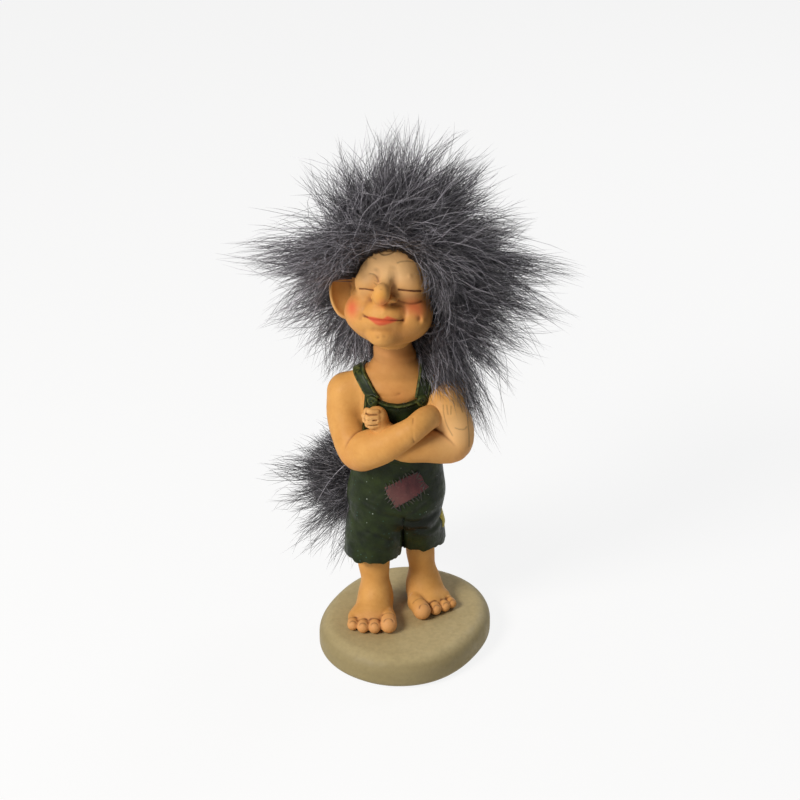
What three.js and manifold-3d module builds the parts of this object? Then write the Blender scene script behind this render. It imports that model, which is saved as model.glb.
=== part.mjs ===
// A folk-tale figurine: a barefoot little troll in dungaree shorts that stands on a pebble-shaped
// plinth with its arms crossed and its face turned up. The figure is cast in pieces that plug into
// each other, the clothes are thin cast layers, and the hair and the tail are tufts of long fur.
// Millimetres, +Z up. The origin is the middle of the plinth's underside and the figure faces -Y.
// "Right" and "left" are the figure's own right (-X) and left (+X).

import * as THREE from "three";
import { mergeVertices } from "three/addons/utils/BufferGeometryUtils.js";
import Module from "manifold-3d";

const wasm = await Module();
wasm.setup();

// Driving dimensions

const CLEARANCE = 0.3; // glue line between two pieces
const CLOTH = 1.1; // thickness of the bib, straps and back panel
const PATCH = 0.7; // thickness of a sewn-on patch

const PLINTH = { length: 56, width: 49.6, height: 9.2, edge: 3.7, chamfer: 1.6, turn: 62 };
const PIN = { radius: 1.2, inPlinth: 6, inLeg: 10 };

const LEG = { length: 21, ankle: 3.7, calf: 4.3, knee: 4.1, plugRadius: 3.3, plugLength: 9 };
const HEEL = { width: 8.2, length: 9.2, height: 5.8, back: 0.6 };
const INSTEP = { height: 6.6, width: 8.4 };
const BALL = { width: 12, length: 8.8, height: 4.4, ahead: 9.6 };
const TOES = { radii: [2.4, 1.8, 1.65, 1.5], reach: [6, 5.8, 5, 3.8], overlap: 0.1 }; // from the big toe out
const RIGHT_ANKLE = { x: -8.8, y: 1.5, turn: 0 };
const LEFT_ANKLE = { x: 4.6, y: 8, turn: 28 };

const SHORTS = { height: 31.5, crotch: 11, hemWall: 1.3, hemDepth: 2.5 };
const WAIST = { x: -2.3, y: 3.3, halfWidth: 12.9, halfDepth: 9.9 };
const HIPS = { x: -2.7, y: 3.7, halfWidth: 14.3, halfDepth: 11.2 };
const RIGHT_HEM = { x: -9.3, y: 1.8, halfWidth: 8.3, halfDepth: 8.5 };
const LEFT_HEM = { x: 4.3, y: 7, halfWidth: 7.6, halfDepth: 7.9 };

const TORSO = { height: 27.5, chestWidth: 25, chestDepth: 18, plugWidth: 16, plugDepth: 12, plugLength: 6 };
const NECK = { radius: 6.8, length: 10, ahead: 1, plugRadius: 3.8, plugLength: 6 };
const SHOULDER = { height: 20.5, right: -14, left: 15, back: 0, radius: 5.6, plugRadius: 2.4, plugLength: 7 };
const ARM = { upper: 5.1, elbow: 5.2, forearm: 4.7, wrist: 3.6, hand: 4.1, fingers: 2.8 };

// Where the crossed arms run, from the middle of the waist
const RIGHT_ARM = {
  biceps: [-14.3, -2.8, 11.5],
  elbow: [-11.2, -8.6, 4],
  forearm: [-3.6, -15, 8.2],
  wrist: [4.2, -17, 15],
  hand: [9.4, -14.8, 18],
  fingers: [12.6, -11, 18],
};
const LEFT_ARM = {
  biceps: [17, -4.6, 12.3],
  elbow: [15.6, -10, 6.4],
  forearm: [7, -13, 7.8],
  wrist: [-1.8, -13, 13],
  fist: [-6, -12, 17.2],
};

const BIB = { width: 18, spread: 2, height: 21.8, scoop: 2.6, x: 0 };
const STRAP = { width: 3.7, spread: 5.5 };
const BUTTON = { radius: 1.5, thickness: 0.8 };
const RED_PATCH = { width: 10.8, height: 7, x: 2.9, belowWaist: 7.3, turn: 28, facing: 0 };
const YELLOW_PATCH = { width: 6, height: 5.2, x: 0, belowWaist: 21.9, turn: 0, facing: 99 };

const HEAD = { width: 24.8, depth: 26, crown: 17.5, pitch: 15, roll: 3, turn: -8 };
const HEAD_SEAT = { x: -1.4, y: -2, rise: 13.4 };
const CRANIUM = { width: 23.4, height: 27, back: 2.4 };
const JAW = { depth: 20.8, height: 18, ahead: 1.6, drop: 5.5 };
const CHIN = { width: 7.8, depth: 6.8, height: 5.2, ahead: 8, drop: 11.9 };
const CHEEK = { width: 10.8, depth: 9.2, height: 9.6, apart: 13.2, ahead: 6, drop: 4 };
const NOSE = { radius: 2.5, reach: 15, rise: 0.4, bridgeReach: 9.2, bridgeRise: 4.4 };
const EAR = { height: 15, width: 8.4, thickness: 4, rim: 1.6, back: 2.6, drop: 1.4, flare: 24, lean: 10 };
const EAR_PLUG = { radius: 1.7, length: 3 };
const WIG = { backing: 1, hairline: 11, hairlineReach: 8.8, napeDrop: 12, napeBack: 11.4 };

const HAIR_CENTRE = { side: 4, back: 2, rise: 4 };
const HAIR_RADIUS = 27; // the fur's outer radius between its locks
const LOCK_FOCUS = 70; // how narrow a lock is: the power of the cosine that shapes it
const HAIR_HOLLOW = { bearing: 18, elevation: 8, depth: 0.27, focus: 3 }; // the sparse hair round the face

// Each lock of the hair: the compass bearing of its tip round the head from the figure's front
// towards its left, its elevation, and how many times the fur's outer radius it reaches.
const HAIR_LOCKS = [
  { bearing: -90, elevation: 9, reach: 1.61 },
  { bearing: -93, elevation: -20, reach: 1.35 },
  { bearing: -96, elevation: -39, reach: 1.19 },
  { bearing: -104, elevation: -54, reach: 1.29 },
  { bearing: -84, elevation: 25, reach: 1.42 },
  { bearing: -84, elevation: 49, reach: 1.48 },
  { bearing: -80, elevation: 64, reach: 1.42 },
  { bearing: -70, elevation: 80, reach: 1.48 },
  { bearing: 70, elevation: 73, reach: 1.55 },
  { bearing: 84, elevation: 51, reach: 1.58 },
  { bearing: 82, elevation: 30, reach: 1.35 },
  { bearing: 86, elevation: 4, reach: 1.51 },
  { bearing: 88, elevation: -14, reach: 1.48 },
  { bearing: 86, elevation: -30, reach: 1.39 },
  { bearing: 84, elevation: -48, reach: 1.45 },
  { bearing: 68, elevation: -61, reach: 1.68 },
  { bearing: -20, elevation: 50, reach: 1.06 },
  { bearing: 30, elevation: 46, reach: 1.13 },
  { bearing: -140, elevation: 38, reach: 1.35 },
  { bearing: -140, elevation: 2, reach: 1.32 },
  { bearing: -142, elevation: -36, reach: 1.22 },
  { bearing: 180, elevation: 62, reach: 1.45 },
  { bearing: 180, elevation: 24, reach: 1.42 },
  { bearing: 180, elevation: -14, reach: 1.39 },
  { bearing: 180, elevation: -48, reach: 1.22 },
  { bearing: 140, elevation: 40, reach: 1.45 },
  { bearing: 138, elevation: 4, reach: 1.42 },
  { bearing: 140, elevation: -34, reach: 1.35 },
];

const TAIL = { x: -4, aboveHem: 14, plugRadius: 2, plugInside: 5, plugOutside: 8, bearing: -114, rise: 12 };
const TAIL_BACKING = { radius: 3.2, length: 7 };
const TAIL_RADIUS = 11.5; // the tail fur's outer radius between its locks
const TAIL_FOCUS = 20;
const TAIL_HOLLOW = { bearing: 60, elevation: 0, depth: 0.3, focus: 2 }; // the side towards the seat
const TAIL_LOCKS = [
  { bearing: -92, elevation: 4, reach: 2.14 },
  { bearing: -88, elevation: -24, reach: 2 },
  { bearing: -84, elevation: -52, reach: 2.35 },
  { bearing: -120, elevation: -72, reach: 2.57 },
  { bearing: -85, elevation: 62, reach: 1.36 },
  { bearing: -170, elevation: -30, reach: 1.43 },
  { bearing: -170, elevation: 30, reach: 1.29 },
  { bearing: -130, elevation: 0, reach: 1.57 },
];

// Heights of the joints above the plinth's underside
const SOLE_Z = PLINTH.height + CLEARANCE;
const HEM_Z = SOLE_Z + LEG.length;
const WAIST_Z = HEM_Z + SHORTS.height;

const LIMB_SIDES = 10;
const BODY_SIDES = 20;
const PLINTH_SIDES = 36;
const HEAD_SIDES = 16;

const FINEST = 0.01; // detail smaller than this is left out of a solid

const radians = THREE.MathUtils.degToRad;

// Solids

function solidOf(geometry) {
  const bare = geometry.clone();
  bare.deleteAttribute("normal");
  bare.deleteAttribute("uv");
  const merged = mergeVertices(bare, 1e-4);
  return new wasm.Manifold(
    new wasm.Mesh({
      numProp: 3,
      vertProperties: new Float32Array(merged.attributes.position.array),
      triVerts: new Uint32Array(merged.index.array),
      tolerance: FINEST,
    }),
  );
}

function geometryOf(solid) {
  const mesh = solid.getMesh();
  const positions = new Float32Array(mesh.numVert * 3);
  for (let i = 0; i < mesh.numVert; i++) {
    positions.set(mesh.vertProperties.subarray(i * mesh.numProp, i * mesh.numProp + 3), i * 3);
  }
  const geometry = new THREE.BufferGeometry();
  geometry.setAttribute("position", new THREE.BufferAttribute(positions, 3));
  geometry.setIndex(new THREE.BufferAttribute(new Uint32Array(mesh.triVerts), 1));
  geometry.computeVertexNormals();
  return geometry;
}

// The largest body of a solid: a cut can leave a crumb on its far side.
function mainBody(solid) {
  return solid.decompose().reduce((a, b) => (b.volume() > a.volume() ? b : a));
}

function join(solids) {
  return solids.reduce((a, b) => a.add(b));
}

function cut(solid, cutters) {
  return mainBody(cutters.reduce((a, b) => a.subtract(b), solid));
}

// The same solid seen from another group of the scene.
function seenFrom(group, solid, home) {
  const matrix = new THREE.Matrix4().copy(group.matrixWorld).invert().multiply(home.matrixWorld);
  return solid.transform(matrix.elements);
}

function ellipsoid({ x = 0, y = 0, z = 0 }, rx, ry, rz, sides = LIMB_SIDES) {
  const geometry = new THREE.SphereGeometry(1, sides, Math.round(sides * 0.7));
  return solidOf(geometry.scale(rx, ry, rz).translate(x, y, z));
}

function block(x0, x1, y0, y1, z0, z1) {
  const geometry = new THREE.BoxGeometry(x1 - x0, y1 - y0, z1 - z0);
  return solidOf(geometry.translate((x0 + x1) / 2, (y0 + y1) / 2, (z0 + z1) / 2));
}

// A round rod from one point to another.
function rod(from, to, radius, sides = LIMB_SIDES) {
  const along = new THREE.Vector3().subVectors(to, from);
  const geometry = new THREE.CylinderGeometry(radius, radius, along.length(), sides);
  const turn = new THREE.Quaternion();
  turn.setFromUnitVectors(new THREE.Vector3(0, 1, 0), along.clone().normalize());
  geometry.applyQuaternion(turn).translate(...from.clone().add(to).multiplyScalar(0.5));
  return solidOf(geometry);
}

// A closed skin over rings of points: neighbouring rings are joined and the two ends are capped.
function skin(rings) {
  const sides = rings[0].length;
  const middle = (ring) => ring.reduce((a, p) => a.add(p), new THREE.Vector3()).divideScalar(sides);
  const points = [...rings.flat(), middle(rings[0]), middle(rings[rings.length - 1])];
  const first = rings.length * sides;
  const last = first + 1;
  const index = [];
  for (let i = 0; i < sides; i++) {
    const j = (i + 1) % sides;
    index.push(first, j, i);
    for (let ring = 0; ring < rings.length - 1; ring++) {
      const a = ring * sides;
      const b = a + sides;
      index.push(a + i, a + j, b + j, a + i, b + j, b + i);
    }
    const end = (rings.length - 1) * sides;
    index.push(last, end + i, end + j);
  }
  const geometry = new THREE.BufferGeometry().setFromPoints(points);
  geometry.setIndex(index);
  return solidOf(geometry);
}

// A smooth upright body through level oval sections { z, x, y, halfWidth, halfDepth }.
function column(sections, grow = 0, steps = 10, sides = BODY_SIDES) {
  const places = new THREE.CatmullRomCurve3(sections.map((s) => new THREE.Vector3(s.x, s.y, s.z)));
  const sizes = new THREE.CatmullRomCurve3(
    sections.map((s) => new THREE.Vector3(s.halfWidth, s.halfDepth, 0)),
  );
  const rings = [];
  for (let step = 0; step <= steps; step++) {
    const at = step / steps;
    const place = places.getPoint(at);
    const size = sizes.getPoint(at);
    const past = step === 0 ? -grow : step === steps ? grow : 0;
    const ring = [];
    for (let i = 0; i < sides; i++) {
      const angle = (2 * Math.PI * i) / sides;
      const outward = new THREE.Vector3(
        (size.x + grow) * Math.cos(angle),
        (size.y + grow) * Math.sin(angle),
        past,
      );
      ring.push(outward.add(place));
    }
    rings.push(ring);
  }
  return skin(rings);
}

// A round limb with rounded ends along a smooth path of stations { at: Vector3, radius }.
function limb(stations, grow = 0, steps = 3 * (stations.length - 1), sides = LIMB_SIDES) {
  const path = new THREE.CatmullRomCurve3(stations.map((s) => s.at));
  const girth = new THREE.CatmullRomCurve3(stations.map((s) => new THREE.Vector3(s.radius, 0, 0)));
  const frames = path.computeFrenetFrames(steps, false);
  const ringAt = (step, shift, share) => {
    const centre = path.getPointAt(step / steps);
    const radius = (girth.getPoint(path.getUtoTmapping(step / steps)).x + grow) * share;
    centre.addScaledVector(frames.tangents[step], shift * (radius / share));
    return Array.from({ length: sides }, (_, i) => {
      const angle = (2 * Math.PI * i) / sides;
      return centre
        .clone()
        .addScaledVector(frames.normals[step], radius * Math.cos(angle))
        .addScaledVector(frames.binormals[step], radius * Math.sin(angle));
    });
  };
  const dome = [0.86, 0.5];
  const start = dome.map((shift) => ringAt(0, -shift, Math.sqrt(1 - shift * shift)));
  const end = [...dome].reverse().map((shift) => ringAt(steps, shift, Math.sqrt(1 - shift * shift)));
  const body = Array.from({ length: steps + 1 }, (_, step) => ringAt(step, 0, 1));
  return skin([...start, ...body, ...end]);
}

const station = (x, y, z, radius) => ({ at: new THREE.Vector3(x, y, z), radius });

// A flat outline in the XZ plane, pushed through along Y from the front face to the back face.
function slab(outline, front, back) {
  const shape = new THREE.Shape(outline.map(([x, z]) => new THREE.Vector2(x, z)));
  const geometry = new THREE.ExtrudeGeometry(shape, { depth: back - front, bevelEnabled: false });
  return solidOf(geometry.rotateX(Math.PI / 2).translate(0, back, 0));
}

// A tuft of fur: a ball round a middle point, drawn out into locks, and shallower round the hollow's way.
function tuft(centre, radius, locks, focus, detail, hollow) {
  const geometry = new THREE.IcosahedronGeometry(1, detail);
  const tips = locks.map((lock) => ({ way: heading(lock.bearing, lock.elevation), reach: lock.reach }));
  const sparse = heading(hollow.bearing, hollow.elevation);
  const position = geometry.attributes.position;
  for (let i = 0; i < position.count; i++) {
    const way = new THREE.Vector3().fromBufferAttribute(position, i).normalize();
    const share = 1 - hollow.depth * Math.max(0, way.dot(sparse)) ** hollow.focus;
    const reach = tips.reduce(
      (most, tip) => Math.max(most, (tip.reach - 1) * Math.max(0, way.dot(tip.way)) ** focus),
      0,
    );
    position.setXYZ(i, ...way.multiplyScalar(radius * share * (1 + reach)).add(centre));
  }
  return solidOf(geometry);
}

// The direction at a compass bearing from the front (-Y) towards the left (+X), and an elevation.
function heading(bearing, elevation) {
  const level = Math.cos(radians(elevation));
  return new THREE.Vector3(
    level * Math.sin(radians(bearing)),
    -level * Math.cos(radians(bearing)),
    Math.sin(radians(elevation)),
  );
}

// Materials

const paint = (color, roughness = 0.62, metalness = 0) =>
  new THREE.MeshStandardMaterial({ color, roughness, metalness });
const skinPaint = paint(0xd99a5b);
const greenPaint = paint(0x38452f, 0.5);
const redPaint = paint(0x6e2f3c, 0.65);
const yellowPaint = paint(0xb3a244, 0.65);
const stonePaint = paint(0xa2926a, 0.75);
const steel = paint(0xa8a8aa, 0.35, 1);
const backingCloth = paint(0x26252a, 0.95);
const fur = paint(0x3c3a44, 0.8);
const hideStem = paint(0x8a5f38, 0.8);

// The scene graph: each group is a joint that its pieces are placed from.

const figurine = new THREE.Group();
const rightLeg = new THREE.Group();
const leftLeg = new THREE.Group();
const lowerBody = new THREE.Group();
const upperBody = new THREE.Group();
const headGroup = new THREE.Group();
const tailGroup = new THREE.Group();

for (const [leg, ankle] of [[rightLeg, RIGHT_ANKLE], [leftLeg, LEFT_ANKLE]]) {
  leg.position.set(ankle.x, ankle.y, SOLE_Z);
  leg.rotation.z = radians(ankle.turn);
}
lowerBody.position.set(0, 0, HEM_Z);
upperBody.position.set(WAIST.x, WAIST.y, WAIST_Z + CLEARANCE);
headGroup.position.set(HEAD_SEAT.x, HEAD_SEAT.y, TORSO.height + HEAD_SEAT.rise + NECK.length);
headGroup.rotation.set(radians(-HEAD.pitch), radians(HEAD.roll), radians(HEAD.turn), "ZXY");
const seatDepth = HIPS.y + HIPS.halfDepth;
tailGroup.position.set(TAIL.x, seatDepth, TAIL.aboveHem);
figurine.add(rightLeg, leftLeg, lowerBody, upperBody);
upperBody.add(headGroup);
lowerBody.add(tailGroup);
figurine.updateMatrixWorld(true);

function addPiece(group, name, solid, material) {
  const mesh = new THREE.Mesh(geometryOf(solid), material);
  mesh.name = name;
  group.add(mesh);
}

// Plinth: an oval pebble with a round upper edge and two holes for the ankle pins.

function plinthSolid() {
  const outline = new THREE.Path();
  const halfLength = PLINTH.length / 2;
  const roundStart = PLINTH.height - PLINTH.edge;
  outline.moveTo(0, 0);
  outline.lineTo(halfLength - PLINTH.chamfer, 0);
  outline.lineTo(halfLength, PLINTH.chamfer);
  outline.lineTo(halfLength, roundStart);
  outline.absarc(halfLength - PLINTH.edge, roundStart, PLINTH.edge, 0, Math.PI / 2, false);
  outline.lineTo(0, PLINTH.height);
  const pebble = new THREE.LatheGeometry(outline.getPoints(3), PLINTH_SIDES);
  pebble.rotateX(Math.PI / 2).scale(1, PLINTH.width / PLINTH.length, 1).rotateZ(radians(PLINTH.turn));
  const holes = [RIGHT_ANKLE, LEFT_ANKLE].map((ankle) => pinRod(ankle, CLEARANCE));
  return cut(solidOf(pebble), holes);
}

// A steel pin that stands in the plinth and runs up into a leg.
function pinRod(ankle, grow = 0) {
  const foot = new THREE.Vector3(ankle.x, ankle.y, PLINTH.height - PIN.inPlinth - grow);
  const top = new THREE.Vector3(ankle.x, ankle.y, SOLE_Z + PIN.inLeg + grow);
  return rod(foot, top, PIN.radius + grow);
}

// Leg: a shin that swells at the calf, a bare foot with four toes, and a plug for the shorts.
// The sole is at z = 0, the foot points to -Y, and inner is +1 where the big toe is on the +X side.

function shinSolid(grow = 0) {
  const shin = [
    { z: 1.5, x: 0, y: 0, halfWidth: LEG.ankle, halfDepth: LEG.ankle + 0.5 },
    { z: LEG.length * 0.35, x: 0, y: 0, halfWidth: LEG.ankle, halfDepth: LEG.ankle },
    { z: LEG.length * 0.75, x: 0, y: 0.2, halfWidth: LEG.calf, halfDepth: LEG.calf },
    { z: LEG.length, x: 0, y: 0, halfWidth: LEG.knee, halfDepth: LEG.knee },
    { z: LEG.length + SHORTS.hemDepth, x: 0, y: 0, halfWidth: LEG.knee, halfDepth: LEG.knee },
  ];
  const plugTop = LEG.length + SHORTS.hemDepth + LEG.plugLength;
  const plug = rod(
    new THREE.Vector3(0, 0, LEG.length),
    new THREE.Vector3(0, 0, plugTop + grow),
    LEG.plugRadius + grow,
  );
  return column(shin, grow, 6, LIMB_SIDES).add(plug);
}

function footSolid(inner) {
  const heelCentre = { y: HEEL.back, z: HEEL.height * 0.4 };
  const heel = ellipsoid(heelCentre, HEEL.width / 2, HEEL.length / 2, HEEL.height * 0.6);
  const arch = limb(
    [
      station(0, 0, INSTEP.height * 0.6, HEEL.width / 2),
      station(0, -BALL.ahead * 0.55, INSTEP.height * 0.3, INSTEP.width / 2),
      station(0, -BALL.ahead, INSTEP.height * 0.1, INSTEP.width * 0.4),
    ],
    0,
    5,
  );
  const ballCentre = { y: -BALL.ahead, z: BALL.height * 0.3 };
  const ball = ellipsoid(ballCentre, BALL.width / 2, BALL.length / 2, BALL.height * 0.7);
  let edge = BALL.width / 2;
  const toes = TOES.radii.map((radius, i) => {
    const x = inner * (edge - radius);
    const tip = radius - BALL.ahead - TOES.reach[i];
    edge -= 2 * radius - TOES.overlap;
    return limb([station(x, -BALL.ahead, radius, radius), station(x, tip, radius, radius)], 0, 1, 8);
  });
  const under = LEG.length;
  return join([heel, arch, ball, ...toes]).subtract(block(-under, under, -under, under, -under, 0));
}

function legSolid(group, ankle, inner) {
  const whole = footSolid(inner).add(shinSolid());
  return cut(whole, [seenFrom(group, pinRod(ankle, CLEARANCE), figurine)]);
}

// Shorts: hips with two wide legs, hollow at the hems, with sockets for the legs, torso and tail.

function shortsForm(grow = 0) {
  const seat = [
    { z: SHORTS.crotch - 3, ...HIPS, halfWidth: HIPS.halfWidth * 0.5, halfDepth: HIPS.halfDepth * 0.5 },
    { z: SHORTS.crotch, ...HIPS, halfWidth: HIPS.halfWidth * 0.86, halfDepth: HIPS.halfDepth * 0.84 },
    { z: SHORTS.height * 0.55, ...HIPS },
    { z: SHORTS.height * 0.8, ...WAIST, halfWidth: (WAIST.halfWidth + HIPS.halfWidth) / 2 },
    { z: SHORTS.height, ...WAIST },
  ];
  return join([column(seat, grow), trouserLeg(RIGHT_HEM, grow), trouserLeg(LEFT_HEM, grow)]);
}

function trouserLeg(hem, grow) {
  const top = SHORTS.height * 0.58;
  const lean = (HIPS.x - hem.x) * 0.15;
  const middleDepth = (hem.halfDepth + HIPS.halfDepth) / 2;
  const hidden = { halfWidth: hem.halfWidth * 0.7, halfDepth: HIPS.halfDepth * 0.82 };
  return column(
    [
      { ...hem, z: 0 },
      { ...hem, z: top * 0.5, x: hem.x + lean, y: (hem.y + HIPS.y) / 2, halfDepth: middleDepth },
      { ...hidden, z: top, x: hem.x + 2 * lean, y: HIPS.y },
    ],
    grow,
    6,
  );
}

// The hollow inside a hem, where the leg comes out.
function hemHollow(hem) {
  const halfWidth = hem.halfWidth - SHORTS.hemWall;
  const halfDepth = hem.halfDepth - SHORTS.hemWall;
  const levels = [-SHORTS.hemDepth, 0, SHORTS.hemDepth];
  return column(levels.map((z) => ({ ...hem, z, halfWidth, halfDepth })), 0, 2);
}

function shortsSolid() {
  const sockets = [
    seenFrom(lowerBody, shinSolid(CLEARANCE), rightLeg),
    seenFrom(lowerBody, shinSolid(CLEARANCE), leftLeg),
    seenFrom(lowerBody, waistPlug(CLEARANCE), upperBody),
    seenFrom(lowerBody, tailPlug(CLEARANCE), tailGroup),
  ];
  return cut(shortsForm(), [hemHollow(RIGHT_HEM), hemHollow(LEFT_HEM), ...sockets]);
}

// Torso: belly, chest, sloping shoulders and neck, with plugs for the shorts and the head and
// sockets for the arms. z = 0 is the waist, on the middle of the waistband.

const halfChest = TORSO.chestWidth / 2;
const halfChestDepth = TORSO.chestDepth / 2;

function torsoForm(grow = 0) {
  const section = (share, ahead, halfWidth, halfDepth) => {
    return { z: TORSO.height * share, x: 0, y: -NECK.ahead * ahead, halfWidth, halfDepth };
  };
  const trunk = [
    section(0, 0, WAIST.halfWidth - 0.4, WAIST.halfDepth - 0.4),
    section(0.3, 0, halfChest, halfChestDepth + 0.3),
    section(0.58, 0, halfChest + 0.6, halfChestDepth),
    section(0.8, 0.3, halfChest + 0.6, halfChestDepth - 1.2),
    section(0.93, 0.6, halfChest - 0.6, NECK.radius + 0.2),
    section(1, 1, NECK.radius + 2.4, NECK.radius - 0.4),
  ];
  const neck = limb(
    [
      station(0, -NECK.ahead, TORSO.height - NECK.radius * 0.6, NECK.radius),
      station(HEAD_SEAT.x * 0.3, -NECK.ahead, TORSO.height + NECK.length * 0.4, NECK.radius),
      station(HEAD_SEAT.x * 0.6, -NECK.ahead, TORSO.height + NECK.length, NECK.radius),
    ],
    grow,
    4,
  );
  return column(trunk, grow, 10).add(neck);
}

function waistPlug(grow = 0) {
  const plug = { x: 0, y: 0, halfWidth: TORSO.plugWidth / 2, halfDepth: TORSO.plugDepth / 2 };
  const bottom = -TORSO.plugLength;
  return column([{ z: bottom, ...plug }, { z: bottom / 2, ...plug }, { z: 1, ...plug }], grow, 2, 20);
}

function neckPlug(grow = 0) {
  const root = new THREE.Vector3(HEAD_SEAT.x * 0.6, -NECK.ahead, TORSO.height);
  const tip = root.clone().setZ(TORSO.height + NECK.length + NECK.radius + NECK.plugLength + grow);
  return rod(root, tip, NECK.plugRadius + grow);
}

function shoulderPlug(side, grow = 0) {
  const inner = new THREE.Vector3(side, SHOULDER.back, SHOULDER.height);
  const outer = inner.clone();
  inner.x -= Math.sign(side) * (SHOULDER.plugLength + grow);
  outer.x += Math.sign(side) * SHOULDER.radius * 0.6;
  return rod(inner, outer, SHOULDER.plugRadius + grow);
}

function torsoSolid() {
  const head = seenFrom(upperBody, headForm(CLEARANCE), headGroup);
  const body = torsoForm().subtract(head);
  const sockets = [shoulderPlug(SHOULDER.right, CLEARANCE), shoulderPlug(SHOULDER.left, CLEARANCE)];
  return cut(join([body, waistPlug(), neckPlug()]), sockets);
}

// Dungaree top: thin layers that lie on the torso.

const clothLayer = (inside, thickness) => torsoForm(inside + thickness).subtract(torsoForm(inside));

function bibOutline() {
  const half = BIB.width / 2;
  const foot = half + BIB.spread;
  const outline = [[BIB.x - foot, CLEARANCE], [BIB.x + foot, CLEARANCE], [BIB.x + half, BIB.height]];
  const scoopSteps = 6;
  for (let i = 1; i < scoopSteps; i++) {
    const across = i / scoopSteps;
    const dip = BIB.scoop * Math.sin(Math.PI * across);
    outline.push([BIB.x + half - BIB.width * across, BIB.height - dip]);
  }
  outline.push([BIB.x - half, BIB.height]);
  return outline;
}

const beyond = TORSO.chestDepth * 2;

function panelSolid(front, back) {
  return mainBody(clothLayer(CLEARANCE, CLOTH).intersect(slab(bibOutline(), front, back)));
}

// A strap runs from the bib over the shoulder to the back panel.
function strapSolid(side) {
  const low = BIB.height + CLEARANCE;
  const high = TORSO.height + NECK.radius;
  const inner = BIB.x + side * (BIB.width / 2 - STRAP.width);
  const outer = inner + side * STRAP.width;
  const lean = side * STRAP.spread;
  const outline = [[inner, low], [outer, low], [outer + lean, high], [inner + lean, high]];
  const band = slab(side > 0 ? outline : outline.reverse(), -beyond, beyond);
  return mainBody(clothLayer(CLEARANCE, CLOTH).intersect(band));
}

// A button at the top corner of the bib, square to the cloth under it.
function buttonRod(side, radius) {
  const x = BIB.x + side * (BIB.width / 2 - STRAP.width / 2);
  const front = new THREE.Vector3(x, -beyond, BIB.height - BUTTON.radius);
  return rod(front, front.clone().setY(0), radius);
}

function buttonSolid(side) {
  const layer = clothLayer(2 * CLEARANCE + CLOTH, BUTTON.thickness);
  return mainBody(layer.intersect(buttonRod(side, BUTTON.radius)));
}

// Patches on the shorts

function patchSolid(patch) {
  const layer = shortsForm(CLEARANCE + PATCH).subtract(shortsForm(CLEARANCE));
  const geometry = new THREE.BoxGeometry(patch.width, beyond, patch.height);
  geometry.translate(0, -beyond / 2, 0).rotateY(-radians(patch.turn)).rotateZ(radians(patch.facing));
  geometry.translate(HIPS.x + patch.x, HIPS.y, SHORTS.height - patch.belowWaist);
  return mainBody(layer.intersect(solidOf(geometry)));
}

// Arms, crossed over the chest: the right forearm lies in front of the left one, and the right hand
// is tucked behind the left upper arm.

const RIGHT_ARM_PATH = [
  station(SHOULDER.right, SHOULDER.back, SHOULDER.height - 1, SHOULDER.radius),
  station(...RIGHT_ARM.biceps, ARM.upper),
  station(...RIGHT_ARM.elbow, ARM.elbow),
  station(...RIGHT_ARM.forearm, ARM.forearm),
  station(...RIGHT_ARM.wrist, ARM.wrist),
  station(...RIGHT_ARM.hand, ARM.hand),
  station(...RIGHT_ARM.fingers, ARM.fingers),
];

const LEFT_ARM_PATH = [
  station(SHOULDER.left, SHOULDER.back, SHOULDER.height - 1, SHOULDER.radius),
  station(...LEFT_ARM.biceps, ARM.upper),
  station(...LEFT_ARM.elbow, ARM.elbow),
  station(...LEFT_ARM.forearm, ARM.forearm),
  station(...LEFT_ARM.wrist, ARM.wrist),
  station(...LEFT_ARM.fist, ARM.hand),
];

const UPPER_ARM = 3; // stations from the shoulder to the elbow

const rightArmForm = (grow = 0) => limb(RIGHT_ARM_PATH, grow);
const leftArmForm = (grow = 0) => limb(LEFT_ARM_PATH, grow);
const rightForearmForm = (grow) => limb(RIGHT_ARM_PATH.slice(UPPER_ARM - 1), grow);
const leftUpperArmForm = (grow) => limb(LEFT_ARM_PATH.slice(0, UPPER_ARM), grow);

// The room that the torso and its clothes take, as the arms meet it.
const clothedTorso = () => torsoForm(CLOTH + 2 * CLEARANCE);
const buttonRoom = () => {
  const room = torsoForm(CLOTH + 3 * CLEARANCE + BUTTON.thickness);
  return room.intersect(join([-1, 1].map((side) => buttonRod(side, BUTTON.radius + CLEARANCE))));
};

function rightArmSolid() {
  const arm = cut(rightArmForm(), [clothedTorso(), buttonRoom(), leftUpperArmForm(CLEARANCE)]);
  return arm.add(shoulderPlug(SHOULDER.right));
}

function leftArmSolid() {
  const arm = cut(leftArmForm(), [clothedTorso(), buttonRoom(), rightForearmForm(CLEARANCE)]);
  return arm.add(shoulderPlug(SHOULDER.left));
}

// Head: cranium, round cheeks and jaw, nose and chin, on a socket for the neck's plug.
// The head's own frame looks to -Y.

function craniumForm(grow = 0) {
  const centre = { y: CRANIUM.back, z: HEAD.crown - CRANIUM.height / 2 };
  const [rx, ry, rz] = [CRANIUM.width, HEAD.depth, CRANIUM.height].map((size) => size / 2 + grow);
  return ellipsoid(centre, rx, ry, rz, HEAD_SIDES);
}

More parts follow.
